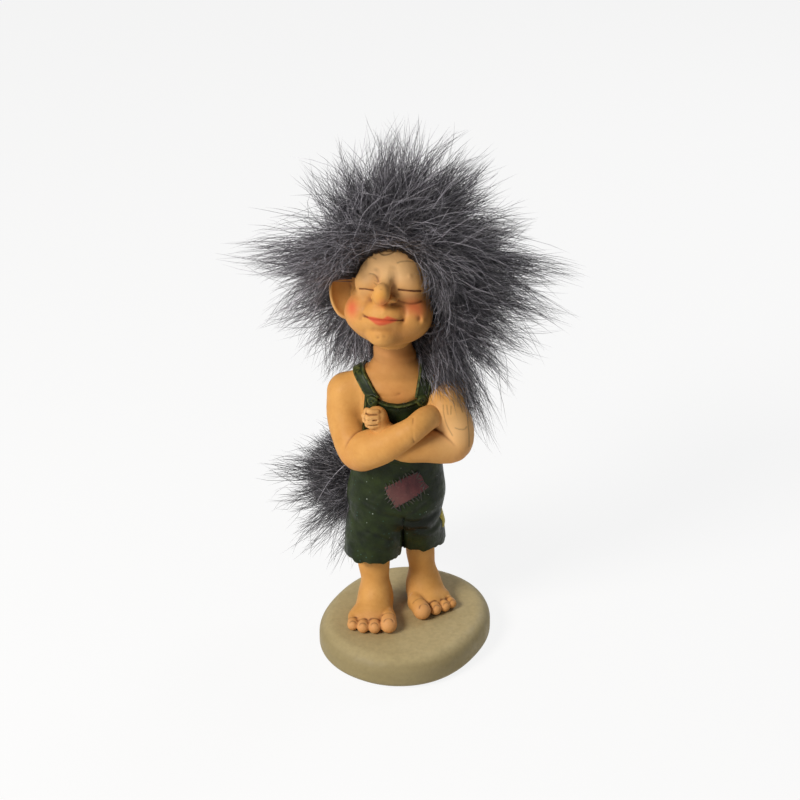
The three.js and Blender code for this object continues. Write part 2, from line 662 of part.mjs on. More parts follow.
function headForm(grow = 0) {
  const bump = ({ width, depth, height, ahead, drop }, x = 0, sides = LIMB_SIDES) =>
    ellipsoid({ x, y: -ahead, z: -drop }, width / 2 + grow, depth / 2 + grow, height / 2 + grow, sides);
  const nose = limb(
    [
      station(0, -NOSE.bridgeReach, NOSE.bridgeRise, NOSE.radius * 0.5),
      station(0, -(NOSE.bridgeReach + NOSE.reach) / 2, (NOSE.bridgeRise + NOSE.rise) / 2, NOSE.radius * 0.75),
      station(0, -NOSE.reach, NOSE.rise, NOSE.radius),
    ],
    grow,
    5,
  );
  const jaw = bump({ ...JAW, width: HEAD.width }, 0, HEAD_SIDES);
  const cheeks = [-1, 1].map((side) => bump(CHEEK, (side * CHEEK.apart) / 2));
  return join([craniumForm(grow), jaw, bump(CHIN), ...cheeks, nose]);
}

function headSolid() {
  const socket = seenFrom(headGroup, neckPlug(CLEARANCE), upperBody);
  const plugs = [-1, 1].map((side) => earPlug(side, CLEARANCE));
  return cut(headForm(), [socket, ...plugs]);
}

// Ear: a cupped oval that stands out of the side of the head on a short plug.

const earRoot = (side) => new THREE.Vector3(side * (HEAD.width / 2 - 0.6), EAR.back, -EAR.drop);

function earPlug(side, grow = 0) {
  const outer = earRoot(side);
  const inner = outer.clone();
  inner.x -= side * (EAR_PLUG.length + grow);
  outer.x += side;
  return rod(inner, outer, EAR_PLUG.radius + grow);
}

function earForm(side, grow = 0) {
  const lobe = new THREE.SphereGeometry(1, 14, 10);
  lobe.scale(EAR.width / 2 + grow, EAR.thickness / 2 + grow, EAR.height / 2 + grow);
  lobe.rotateZ(side * radians(-EAR.flare)).rotateY(side * radians(EAR.lean));
  lobe.translate(...earRoot(side).add(new THREE.Vector3(side * EAR.width * 0.33, 0, 0)));
  return solidOf(lobe);
}

// The room that an ear and its plug take.
const earRoom = (side) => earForm(side, CLEARANCE).add(earPlug(side, CLEARANCE));

function earSolid(side) {
  const cupDepth = EAR.thickness * 0.62;
  const middle = earRoot(side).add(new THREE.Vector3(side * EAR.width * 0.31, -EAR.thickness * 0.75, 0));
  const cup = ellipsoid(middle, EAR.width * 0.36, cupDepth, EAR.height / 2 - EAR.rim, 12);
  const ear = cut(earForm(side), [cup, headForm(CLEARANCE)]);
  return ear.add(earPlug(side));
}

// Wig: a fabric cap glued over the cranium, and the fur that grows out of it.

// The half space above the hairline: a slanting cut from the forehead down to the nape.
function wigRegion() {
  const slope = Math.atan2(-WIG.napeDrop - WIG.hairline, WIG.napeBack + WIG.hairlineReach);
  const size = HEAD.depth * 4;
  const geometry = new THREE.BoxGeometry(size, size, size);
  geometry.translate(0, 0, size / 2).rotateX(slope).translate(0, -WIG.hairlineReach, WIG.hairline);
  return solidOf(geometry);
}

function wigBackingSolid() {
  const shell = craniumForm(CLEARANCE + WIG.backing).subtract(craniumForm(CLEARANCE));
  const ears = [-1, 1].map((side) => earRoom(side));
  const neck = seenFrom(headGroup, torsoForm(CLEARANCE), upperBody);
  return cut(shell.intersect(wigRegion()), [...ears, headForm(CLEARANCE), neck]);
}

function hairSolid() {
  const middle = new THREE.Vector3(HAIR_CENTRE.side, HAIR_CENTRE.back, HAIR_CENTRE.rise);
  const place = middle.applyMatrix4(headGroup.matrix);
  const mass = tuft(place, HAIR_RADIUS, HAIR_LOCKS, LOCK_FOCUS, 11, HAIR_HOLLOW);
  const body = mass.subtract(seenFrom(upperBody, faceRoom(), headGroup));
  const room = [
    seenFrom(upperBody, headForm(CLEARANCE), headGroup),
    seenFrom(upperBody, craniumForm(2 * CLEARANCE + WIG.backing), headGroup),
    ...[-1, 1].map((side) => seenFrom(upperBody, earRoom(side), headGroup)),
    torsoForm(CLOTH + 2 * CLEARANCE),
    rightArmForm(CLEARANCE),
    leftArmForm(CLEARANCE),
  ];
  return cut(body, room);
}

// The open space in front of the face and below the jaw, which no lock crosses. On the right it
// also clears the ear.
function faceRoom() {
  const far = HEAD.depth * 3;
  const half = HEAD.width / 2;
  const outline = [
    [-half, -far],
    [half, -far],
    [half * 0.94, -JAW.drop],
    [half * 0.78, WIG.hairline * 0.7],
    [half * 0.3, WIG.hairline],
    [-half * 0.3, WIG.hairline],
    [-half * 0.78, WIG.hairline * 0.7],
    [-half - EAR.width * 0.6, -JAW.drop],
  ];
  return slab(outline, -far, EAR.back);
}

// Tail: a stem that plugs into the seat of the shorts and carries a tuft of the same fur.

const tailWay = heading(TAIL.bearing, TAIL.rise);
const alongTail = (distance) => tailWay.clone().multiplyScalar(distance);

function tailPlug(grow = 0) {
  const inside = alongTail(-TAIL.plugInside - grow);
  return rod(inside, alongTail(TAIL.plugOutside), TAIL.plugRadius + grow);
}

function tailBackingForm(grow = 0) {
  const start = TAIL.plugOutside - TAIL_BACKING.length / 2;
  const end = start + TAIL_BACKING.length;
  const stations = [alongTail(start), alongTail((start + end) / 2), alongTail(end)];
  return limb(stations.map((at) => ({ at, radius: TAIL_BACKING.radius })), grow, 4, 12);
}

const tailBackingSolid = () => cut(tailBackingForm(), [tailPlug(CLEARANCE), seatForm(CLEARANCE)]);
const seatForm = (grow) => seenFrom(tailGroup, shortsForm(grow), lowerBody);

function tailFurSolid() {
  const middle = alongTail(TAIL.plugOutside + TAIL_BACKING.length / 2);
  const fluff = tuft(middle, TAIL_RADIUS, TAIL_LOCKS, TAIL_FOCUS, 7, TAIL_HOLLOW);
  return cut(fluff, [tailBackingForm(CLEARANCE), tailPlug(CLEARANCE), seatForm(CLEARANCE)]);
}

// Assembly

addPiece(figurine, "plinth", plinthSolid(), stonePaint);
addPiece(figurine, "right_ankle_pin", pinRod(RIGHT_ANKLE), steel);
addPiece(figurine, "left_ankle_pin", pinRod(LEFT_ANKLE), steel);
addPiece(rightLeg, "right_leg", legSolid(rightLeg, RIGHT_ANKLE, 1), skinPaint);
addPiece(leftLeg, "left_leg", legSolid(leftLeg, LEFT_ANKLE, -1), skinPaint);
addPiece(lowerBody, "shorts", shortsSolid(), greenPaint);
addPiece(lowerBody, "red_patch", patchSolid(RED_PATCH), redPaint);
addPiece(lowerBody, "yellow_patch", patchSolid(YELLOW_PATCH), yellowPaint);
addPiece(tailGroup, "tail_stem", tailPlug(), hideStem);
addPiece(tailGroup, "tail_backing", tailBackingSolid(), backingCloth);
addPiece(tailGroup, "tail_fur", tailFurSolid(), fur);
addPiece(upperBody, "torso", torsoSolid(), skinPaint);
addPiece(upperBody, "bib", panelSolid(-beyond, 0), greenPaint);
addPiece(upperBody, "back_panel", panelSolid(0, beyond), greenPaint);
addPiece(upperBody, "right_strap", strapSolid(-1), greenPaint);
addPiece(upperBody, "left_strap", strapSolid(1), greenPaint);
addPiece(upperBody, "right_button", buttonSolid(-1), greenPaint);
addPiece(upperBody, "left_button", buttonSolid(1), greenPaint);
addPiece(upperBody, "right_arm", rightArmSolid(), skinPaint);
addPiece(upperBody, "left_arm", leftArmSolid(), skinPaint);
addPiece(headGroup, "head", headSolid(), skinPaint);
addPiece(headGroup, "right_ear", earSolid(-1), skinPaint);
addPiece(headGroup, "left_ear", earSolid(1), skinPaint);
addPiece(headGroup, "wig_backing", wigBackingSolid(), backingCloth);
addPiece(upperBody, "hair", hairSolid(), fur);

export default figurine;
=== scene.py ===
"""A folk-tale troll figurine on a pebble plinth, dressed round its CAD frame.

The castings are sculpted as signed distances on a grid, in millimetres, and meshed in metres. The fur
is separate strands of mesh. "Right" and "left" are the figure's own: right is -X, and it faces -Y.
"""

import math

import bpy
import numpy as np
import openvdb
from mathutils import Matrix, Vector


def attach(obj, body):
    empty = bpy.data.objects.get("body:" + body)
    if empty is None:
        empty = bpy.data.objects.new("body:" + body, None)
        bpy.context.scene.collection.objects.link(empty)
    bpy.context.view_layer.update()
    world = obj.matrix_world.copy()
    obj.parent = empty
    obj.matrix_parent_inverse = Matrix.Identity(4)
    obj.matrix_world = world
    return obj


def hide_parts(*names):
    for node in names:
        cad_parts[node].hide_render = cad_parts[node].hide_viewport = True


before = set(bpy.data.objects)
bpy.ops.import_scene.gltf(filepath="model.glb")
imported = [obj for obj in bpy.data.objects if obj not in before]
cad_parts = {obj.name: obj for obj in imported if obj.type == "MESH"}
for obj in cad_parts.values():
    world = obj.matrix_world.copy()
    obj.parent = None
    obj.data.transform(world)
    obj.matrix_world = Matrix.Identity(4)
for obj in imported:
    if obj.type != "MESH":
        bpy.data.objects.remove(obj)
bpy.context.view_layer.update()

MM = 0.001

# The photograph's view, from the front and above. Lengths in millimetres, focal length and picture in pixels
CAMERA = {"distance": 480, "elevation": 27, "target": (-1.55, -1.3, 80.5), "focal": 1714, "picture": 800}

# Sizes in millimetres, as in the CAD. Only the fur's differ: they reach to the tips of the longest hairs

PLINTH = {"length": 56, "width": 49.6, "height": 9.2, "edge": 4.2, "foot": 2.6, "turn": 62}
SOLE_Z = 9.5
HEM_Z = 30.5
WAIST_Z = 62.3

LEG_LENGTH = 21
ANKLE_RADIUS = 3.7
CALF_RADIUS = 4.3
KNEE_RADIUS = 4.1
# Toes from the big toe out: radius, place across the foot towards the big toe, reach ahead of the ankle
RIGHT_TOES = [(2.4, 3.9, 12.9), (1.8, -0.2, 13.4), (1.7, -3.6, 13.2), (1.6, -6.6, 11.9)]
LEFT_TOES = [(2.55, 5.4, 11.1), (1.7, 0.9, 11.3), (1.55, -2.4, 11.1), (1.45, -5.0, 10.5)]

SHORTS_HEIGHT = 31.5
CROTCH = 11
WAIST = {"x": -2.3, "y": 3.3, "half_width": 12.9, "half_depth": 9.9}
HIPS = {"x": -2.7, "y": 3.7, "half_width": 14.3, "half_depth": 11.2}
RIGHT_HEM = {"x": -9.4, "y": 1.8, "half_width": 8.7, "half_depth": 8.5}
LEFT_HEM = {"x": 4.3, "y": 7, "half_width": 7.6, "half_depth": 7.9}
HEM_WALL = 1.3

TORSO_HEIGHT = 27.5
NECK_RADIUS = 5.2
NECK_LENGTH = 10
BIB = {"width": 18, "spread": 2, "height": 21.8, "scoop": 2.6}
CLOTH = 1.1
CLEARANCE = 0.3
STRAP = {"width": 4.2, "top": 34.3}
BUTTON = {"radius": 1.5, "thickness": 0.8}
RED_PATCH = {"width": 10.8, "height": 7, "x": 2.9, "above_hem": 24.2, "turn": 28, "facing": 0}
YELLOW_PATCH = {"width": 6, "height": 5.2, "x": 0, "above_hem": 8.5, "turn": 0, "facing": 99}

# The crossed arms, from the middle of the waist: x, y, z and radius at each station
RIGHT_ARM = [
    (-14.3, 0, 18.6, 5.6), (-14.6, -2.8, 11.5, 5.2), (-11.4, -8.6, 4.3, 5.2), (-7.4, -12.4, 6.9, 5.5),
    (-2.6, -15.2, 9.9, 4.6), (3.8, -16.6, 14.8, 3.6), (7.9, -13.4, 16.8, 3.5), (11.8, -7.6, 15.5, 2.9),
]
LEFT_ARM = [
    (15, 0, 19.5, 5.6), (13.3, -7.1, 17.2, 5.7), (16.0, -9.2, 12.4, 5.3), (15.4, -10.8, 7.4, 5.0),
    (8, -13, 8.1, 4.6), (1, -13.4, 8.6, 4.3), (-4.0, -13, 13.2, 3.0), (-5.8, -12, 16.6, 2.9),
]

HAIR_RADIUS = 25  # between its locks
LOCK_FOCUS = 36  # how narrow a lock is: the power of the cosine that shapes it
COMBED_FOCUS = 14  # how wide the hair round a lock is combed towards it
# Each lock of the hair: compass bearing from the front towards the left, elevation, times the radius
HAIR_LOCKS = [
    (-90, 9, 2), (-93, -20, 1.68), (-96, -39, 1.48), (-104, -54, 1.6), (-84, 25, 1.76), (-84, 49, 1.84),
    (-80, 64, 1.76), (-70, 80, 1.84), (70, 73, 1.88), (84, 53, 1.84), (82, 30, 1.68), (86, 4, 1.88),
    (88, -14, 1.84), (86, -30, 1.72), (84, -48, 1.8), (68, -61, 2.08), (-20, 50, 1.32), (30, 46, 1.4),
    (-140, 38, 1.68), (-140, 2, 1.64), (-142, -36, 1.52), (180, 62, 1.8), (180, 24, 1.76),
    (180, -14, 1.72), (180, -48, 1.52), (140, 40, 1.8), (138, 4, 1.76), (140, -34, 1.68),
]
TAIL = {"place": (-4, 14.9, 44.5), "bearing": -114, "rise": 12, "outside": 8}
TAIL_BACKING = {"radius": 3.2, "length": 7}
TAIL_RADIUS = 11
TAIL_FOCUS = 16
TAIL_COMBED_FOCUS = 8
TAIL_LOCKS = [
    (-92, 4, 2.73), (-88, -24, 2.55), (-84, -52, 3), (-110, -77, 3.7), (-85, 62, 1.73),
    (-170, -30, 1.82), (-170, 30, 1.64), (-130, 0, 2),
]


# Joints: the frames that the pieces are sculpted in

class Joint:
    """Where a joint is and how it is turned in its parent: about Z, then back by its pitch, then rolled."""

    def __init__(self, place, turn=0, pitch=0, roll=0, parent=None):
        spin = Matrix.Rotation(math.radians(turn), 3, "Z")
        spin = spin @ Matrix.Rotation(math.radians(-pitch), 3, "X")
        spin = spin @ Matrix.Rotation(math.radians(roll), 3, "Y")
        self.place = np.array(place, np.float32)
        self.axes = np.array(spin, np.float32)
        if parent:
            self.place = parent.world([place])[0]
            self.axes = parent.axes @ self.axes

    def local(self, p):
        """Points of the part as the joint sees them: three arrays in, three arrays out."""
        q = [c - m for c, m in zip(p, self.place)]
        return [sum(self.axes[i, j] * q[i] for i in range(3) if self.axes[i, j]) for j in range(3)]

    def world(self, points):
        """Rows of points in the joint's frame, as points of the part."""
        return np.asarray(points, np.float32) @ self.axes.T + self.place


RIGHT_FOOT = Joint((-8.8, 1.5, SOLE_Z))
LEFT_FOOT = Joint((4.6, 8, SOLE_Z), turn=28)
LOWER = Joint((0, 0, HEM_Z))
UPPER = Joint((WAIST["x"], WAIST["y"], WAIST_Z))
HEAD = Joint((-3.7, 1.3, 113.2), turn=-8, pitch=15, roll=3)
RIGHT_EAR = Joint((-13.2, 2.4, -2.6), turn=16, roll=-10, parent=HEAD)
LEFT_EAR = Joint((13.2, 2.4, -2.6), turn=-16, roll=10, parent=HEAD)
HAIR_CENTRE = HEAD.world([(4, 2, 4)])[0]


def view_axes():
    """The camera's way ahead and its way up."""
    elevation = math.radians(CAMERA["elevation"])
    ahead = np.array([0, math.cos(elevation), -math.sin(elevation)])
    up = np.array([0, math.sin(elevation), math.cos(elevation)])
    return ahead, up


def face_view(p):
    """Points as the camera sees them: millimetres across and up from the head's joint, at its distance."""
    ahead, up = view_axes()
    eye = np.array(CAMERA["target"]) - ahead * CAMERA["distance"]
    head = HEAD.place - eye
    far = head @ ahead
    q = [c - e for c, e in zip(p, eye)]
    depth = q[1] * ahead[1] + q[2] * ahead[2]
    across = q[0] / depth - head[0] / far
    rise = (q[1] * up[1] + q[2] * up[2]) / depth - head @ up / far
    return across * far, rise * far


# Signed distances, negative inside

def ellipsoid(p, centre, radii):
    q = [(c - m) / r for c, m, r in zip(p, centre, radii)]
    reach = np.sqrt(sum(c * c for c in q))
    slope = np.sqrt(sum((c / r) ** 2 for c, r in zip(q, radii)))
    return reach * (reach - 1) / np.maximum(slope, 1e-6)


def capsule(p, start, end):
    """A rod with round ends between two stations (x, y, z, radius)."""
    along = [b - a for a, b in zip(start[:3], end[:3])]
    length = max(sum(c * c for c in along), 1e-9)
    q = [c - a for c, a in zip(p, start[:3])]
    share = np.clip(sum(c * a for c, a in zip(q, along)) / length, 0, 1)
    away = np.sqrt(sum((c - share * a) ** 2 for c, a in zip(q, along)))
    return away - (start[3] + (end[3] - start[3]) * share)


def chain(p, stations):
    nearest = capsule(p, stations[0], stations[1])
    for start, end in zip(stations[1:], stations[2:]):
        nearest = np.minimum(nearest, capsule(p, start, end))
    return nearest


def away_from(p, path):
    """The distance to a line through some points."""
    return chain(p, [(*point[:3], 0) for point in path])


def bell(away, width):
    """1 at no distance, falling off softly within about a width."""
    return np.exp(-((away / width) ** 2))


def smooth_path(rows, steps=4):
    """A smooth curve through rows of numbers, with some steps between neighbours."""
    rows = np.array(rows, float)
    ends = np.vstack([2 * rows[0] - rows[1], rows, 2 * rows[-1] - rows[-2]])
    found = []
    for a, b, c, d in zip(ends, ends[1:], ends[2:], ends[3:]):
        for t in np.arange(steps) / steps:
            found.append(0.5 * (2 * b + (c - a) * t + (2 * a - 5 * b + 4 * c - d) * t**2
                                + (3 * b - a - 3 * c + d) * t**3))
    return np.vstack([found, rows[-1]])


def limb(p, stations, steps=4):
    return chain(p, smooth_path(stations, steps))


def column(p, sections):
    """An upright body through level ovals (z, x, y, half width, half depth)."""
    path = smooth_path(sections, steps=8)
    x, y, half_width, half_depth = [np.interp(p[2], path[:, 0], path[:, i]) for i in range(1, 5)]
    u = (p[0] - x) / half_width
    v = (p[1] - y) / half_depth
    reach = np.sqrt(u * u + v * v)
    slope = np.sqrt((u / half_width) ** 2 + (v / half_depth) ** 2)
    low, high = path[0, 0], path[-1, 0]
    ends = np.abs(p[2] - (low + high) / 2) - (high - low) / 2
    return np.maximum(reach * (reach - 1) / np.maximum(slope, 1e-6), ends)


def join(a, b, blend):
    """Two shapes as one, with a fillet."""
    near = np.maximum(blend - np.abs(a - b), 0) / blend
    return np.minimum(a, b) - near * near * blend / 4


def swell(form, p, centre, radii, blend):
    """A shape with an ellipsoid joined on."""
    return join(form, ellipsoid(p, centre, radii), blend)


def fillet(a, b, blend):
    """A shape with a fillet towards another, and nothing more of that other."""
    return np.maximum(join(a, b, blend), a - b - 0.96 * blend)


def meet(a, b, blend):
    """What two shapes share, with a rounded edge."""
    return -join(-a, -b, blend)


def outline(x, z, corners):
    """The distance to a closed outline in a plane, negative inside."""
    nearest, inside = 1e9, np.zeros(np.broadcast(x, z).shape, bool)
    for (x0, z0), (x1, z1) in zip(corners, corners[1:] + corners[:1]):
        along = (x1 - x0, z1 - z0)
        length = along[0] ** 2 + along[1] ** 2
        share = np.clip(((x - x0) * along[0] + (z - z0) * along[1]) / length, 0, 1)
        away = np.hypot(x - x0 - share * along[0], z - z0 - share * along[1])
        nearest = np.minimum(nearest, away)
        crosses = ((z0 > z) != (z1 > z)) & (x < x0 + along[0] * (z - z0) / (along[1] or 1e-9))
        inside = inside ^ crosses
    return np.where(inside, -nearest, nearest)


def ripple(p, size, seed):
    """Smooth noise from -1 to 1, with lumps of about that size."""
    rng = np.random.default_rng(seed)
    total = 0
    for _ in range(7):
        way = rng.normal(size=3)
        way *= 2 * math.pi / (size * rng.uniform(1.4, 2.6)) / np.linalg.norm(way)
        total = total + np.sin(sum(c * w for c, w in zip(p, way)) + rng.uniform(0, 6.3))
    return total / 7


def heading(bearing, elevation):
    """The direction at a compass bearing from the front (-Y) towards the left (+X), and an elevation."""
    b, e = math.radians(bearing), math.radians(elevation)
    return np.array([math.cos(e) * math.sin(b), -math.cos(e) * math.cos(b), math.sin(e)])


# Clay: a grid that shapes are worked on

class Clay:
    """A box of points, low to high, on which signed distances are worked and then meshed."""

    def __init__(self, low, high, step):
        self.low = np.array(low, np.float32)
        self.step = step
        self.counts = np.ceil((np.array(high) - self.low) / step).astype(int) + 1
        axes = [a + step * np.arange(n, dtype=np.float32) for a, n in zip(self.low, self.counts)]
        self.points = np.meshgrid(*axes, indexing="ij", sparse=True)

    def window(self, points, margin):
        """The slices of the grid that hold some points, and the grid's points there."""
        points = np.asarray(points, np.float32)[:, :3]
        first = np.floor((points.min(0) - margin - self.low) / self.step).astype(int)
        last = np.ceil((points.max(0) + margin - self.low) / self.step).astype(int)
        first = np.clip(first, 0, self.counts - 1)
        last = np.clip(last, first + 1, self.counts)
        slices = tuple(slice(a, b) for a, b in zip(first, last))
        spans = enumerate(zip(self.points, first, last))
        return slices, [np.take(c, np.arange(a, b), axis=i) for i, (c, a, b) in spans]

    def press(self, field, path, width, depth):
        """Presses a soft groove along a path of points, or raises a ridge where the depth is negative."""
        slices, p = self.window(path, 3 * width)
        field[slices] += depth * bell(away_from(p, path), width)

    def hollows(self, field):
        """How concave the shape is at each point: above 0 in creases and below 0 on edges."""
        rounds = 10
        soft = field
        for _ in range(rounds):
            wide = np.pad(soft, 1, mode="edge")
            soft = (wide[2:, 1:-1, 1:-1] + wide[:-2, 1:-1, 1:-1] + wide[1:-1, 2:, 1:-1]
                    + wide[1:-1, :-2, 1:-1] + wide[1:-1, 1:-1, 2:] + wide[1:-1, 1:-1, :-2]) / 6
        return (field - soft) * 6 / (rounds * self.step**2)

    def sample(self, values, places):
        """Values of the grid at places, worked out between its points."""
        at = (places - self.low) / self.step
        base = np.clip(np.floor(at).astype(int), 0, self.counts - 2)
        rest = at - base
        total = np.zeros(len(places), np.float32)
        for corner in np.ndindex(2, 2, 2):
            weight = np.prod(np.where(corner, rest, 1 - rest), axis=1)
            total += weight * values[tuple((base + corner).T)]
        return total

    def mesh(self, field):
        volume = openvdb.FloatGrid(1.0)
        volume.copyFromArray(np.ascontiguousarray(field, np.float32))
        places, _, quads = volume.convertToPolygons(isovalue=0.0, adaptivity=0.0)
        return places * self.step + self.low, quads


class Drawing:
    """Soft strokes and dabs on a plane, gathered on a fine raster and read at any place of it."""

    step = 0.08

    def __init__(self, half):
        self.half = half
        axis = np.arange(-half, half + self.step, self.step)
        self.u, self.v = np.meshgrid(axis, axis, indexing="ij", sparse=True)
        self.total = np.zeros((len(axis), len(axis)))

    def lines(self, rows):
        """Strokes, each given by its path, width and amount."""
        for path, width, amount in rows:
            path = [(u, v, 0) for u, v in smooth_path(path)]
            self.total += amount * stroke((self.u, self.v, 0 * self.u), path, width)

    def dabs(self, rows):
        """Dabs, each given by its centre, radii and amount."""
        for centre, radii, amount in rows:
            q = [(c - m) / r for c, m, r in zip((self.u, self.v), centre, radii)]
            self.total += amount * np.exp(-(q[0] ** 2 + q[1] ** 2))

    def at(self, u, v):
        last = len(self.total) - 1.001
        a = np.clip((u + self.half) / self.step, 0, last)
        b = np.clip((v + self.half) / self.step, 0, last)
        i, j = a.astype(int), b.astype(int)
        a, b = a - i, b - j
        t = self.total
        return ((1 - a) * (1 - b) * t[i, j] + a * (1 - b) * t[i + 1, j]
                + (1 - a) * b * t[i, j + 1] + a * b * t[i + 1, j + 1])


# Pieces

def piece(name, places, faces, material, slot, nodes=(), masks=None):
    """A mesh object from places in millimetres, riding the one body of the part."""
    mesh = bpy.data.meshes.new(name)
    sides = faces.shape[1]
    mesh.vertices.add(len(places))
    mesh.vertices.foreach_set("co", np.ravel(places * MM).astype(np.float32))
    mesh.loops.add(faces.size)
    mesh.loops.foreach_set("vertex_index", np.ravel(faces).astype(np.int32))
    mesh.polygons.add(len(faces))
    mesh.polygons.foreach_set("loop_start", np.arange(0, faces.size, sides, dtype=np.int32))
    mesh.update(calc_edges=True)
    mesh.shade_smooth()
    for mask, values in (masks or {}).items():
        layer = mesh.attributes.new(mask, "FLOAT", "POINT")
        layer.data.foreach_set("value", np.clip(values, 0, 1).astype(np.float32))
    mesh.materials.append(material)
    thing = bpy.data.objects.new(name, mesh)
    bpy.context.scene.collection.objects.link(thing)
    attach(thing, "root")
    if nodes:
        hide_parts(*nodes)
    return thing


def cast(name, clay, field, material, slot, nodes, masks=None):
    """A sculpted piece, with masks for its creases and edges and those that a function of its places adds."""
    places, quads = clay.mesh(field)
    hollow = clay.sample(clay.hollows(field), places)
    found = {"crease": hollow * 0.7, "edge": -hollow * 0.55}
    if masks:
        found.update(masks(places.T))
    piece(name, places, quads, material, slot, nodes, found)


def spot(p, centre, radius):
    """A soft round mark, 1 in its middle."""
    return np.exp(-sum((c - m) ** 2 for c, m in zip(p, centre)) / radius**2)


def stroke(p, path, width):
    """A soft line along a path, 1 in its middle."""
    return bell(away_from(p, path), width)


# Materials

class Nodes:
    """A tree of shader nodes that is put together in a few words."""

    def __init__(self, owner):
        owner.use_nodes = True
        self.tree = owner.node_tree

    def node(self, kind, inputs, output=0, **settings):
        made = self.tree.nodes.new(kind)
        for setting, value in settings.items():
            setattr(made, setting, value)
        for socket, value in inputs.items():
            target = made.inputs[socket]
            if isinstance(value, bpy.types.NodeSocket):
                self.tree.links.new(value, target)
            else:
                target.default_value = value
        return made.outputs[output]

    def math(self, operation, a, b):
        return self.node("ShaderNodeMath", {0: a, 1: b}, operation=operation)

    def link(self, output, node, socket):
        self.tree.links.new(output, self.tree.nodes[node].inputs[socket])

    def seen(self):
        """1 for rays that a viewer sees, straight or in a gloss or glass."""
        rays = self.tree.nodes.new("ShaderNodeLightPath").outputs
        shown = self.math("MAXIMUM", rays["Is Camera Ray"], rays["Is Glossy Ray"])
        return self.math("MAXIMUM", shown, rays["Is Transmission Ray"])


class Finish(Nodes):
    """A material of the part. Lengths are in millimetres."""

    def __init__(self, name, **inputs):
        self.material = bpy.data.materials.new(name)
        super().__init__(self.material)
        self.shader = self.tree.nodes["Principled BSDF"]
        for socket, value in inputs.items():
            self.shader.inputs[socket.replace("_", " ")].default_value = value
        self.place = self.tree.nodes.new("ShaderNodeTexCoord").outputs["Object"]

    def noise(self, size, detail, stretch=(1, 1, 1)):
        place = self.node("ShaderNodeMapping", {"Vector": self.place, "Scale": stretch})
        return self.node("ShaderNodeTexNoise", {"Vector": place, "Scale": 1000 / size, "Detail": detail})

    def specks(self, size):
        """The distance to the nearest of some scattered points, in units of their spacing."""
        return self.node("ShaderNodeTexVoronoi", {"Vector": self.place, "Scale": 1000 / size})

    def mask(self, name):
        return self.node("ShaderNodeAttribute", {}, "Fac", attribute_name=name)

    def between(self, value, low, high):
        """0 where the value is at low, 1 where it is at high, and even between them."""
        return self.node("ShaderNodeMapRange", {"Value": value, "From Min": low, "From Max": high})

    def cloud(self, size, detail, low, high, stretch=(1, 1, 1)):
        """Noise with lumps of about that size, 0 where it is at low and 1 where it is at high."""
        return self.between(self.noise(size, detail, stretch), low, high)

    def mix(self, share, a, b):
        return self.node("ShaderNodeMix", {0: share, 6: a, 7: b}, 2, data_type="RGBA")

    def lay_over(self, colour, share, amount, paint):
        """A colour with a paint laid over it, by a share from 0 to 1 times an amount."""
        return self.mix(self.math("MULTIPLY", share, amount), colour, paint)

    def colour(self, value):
        self.link(value, self.shader.name, "Base Color")

    def rough(self, value):
        self.link(value, self.shader.name, "Roughness")

    def bump(self, height, depth):
        inputs = {"Height": height, "Distance": depth * MM, "Strength": 1.0}
        self.link(self.node("ShaderNodeBump", inputs), self.shader.name, "Normal")


def srgb(red, green, blue):
    """A colour written as it looks on a screen, from 0 to 255, for a shader's socket."""
    shares = [c / 255 for c in (red, green, blue)]
    return (*[s / 12.92 if s <= 0.04045 else ((s + 0.055) / 1.055) ** 2.4 for s in shares], 1.0)


def skin_finish():
    """Hand-painted flesh: warm tan with mottling, rosy marks and fine lines, painted shade and painted light,
    and dark paint in the creases that also stands in for their shade.
    """
    f = Finish("painted_skin", Specular_IOR_Level=0.22)
    mottle = f.cloud(5.5, 4, 0.3, 0.7)
    colour = f.mix(mottle, srgb(204, 146, 76), srgb(218, 162, 90))
    colour = f.lay_over(colour, f.cloud(0.9, 3, 0.42, 0.8), 0.22, srgb(192, 126, 64))
    # Over the tan: painted shade in grey brown and deep brown, painted light in pale tan, dark paint in the
    # creases that is partly a wash and partly painted shade, then blush, a warm nose, coral lips and fine
    # lines
    for mask, amount, paint in (
        ("shade", 0.6, srgb(156, 119, 94)), ("brown_shade", 0.6, srgb(156, 98, 50)),
        ("warm", 0.6, srgb(220, 152, 56)), ("blush", 0.85, srgb(214, 88, 62)),
        ("pale", 0.6, srgb(250, 206, 150)), ("crease", 0.7, srgb(126, 70, 36)),
        ("lips", 1, srgb(206, 78, 52)), ("ink", 1, srgb(70, 40, 28)),
    ):
        colour = f.lay_over(colour, f.mask(mask), amount, paint)
    f.colour(colour)
    f.rough(f.cloud(2.2, 3, -0.4, 1.2))
    f.bump(f.noise(0.7, 4), 0.05)
    return f.material


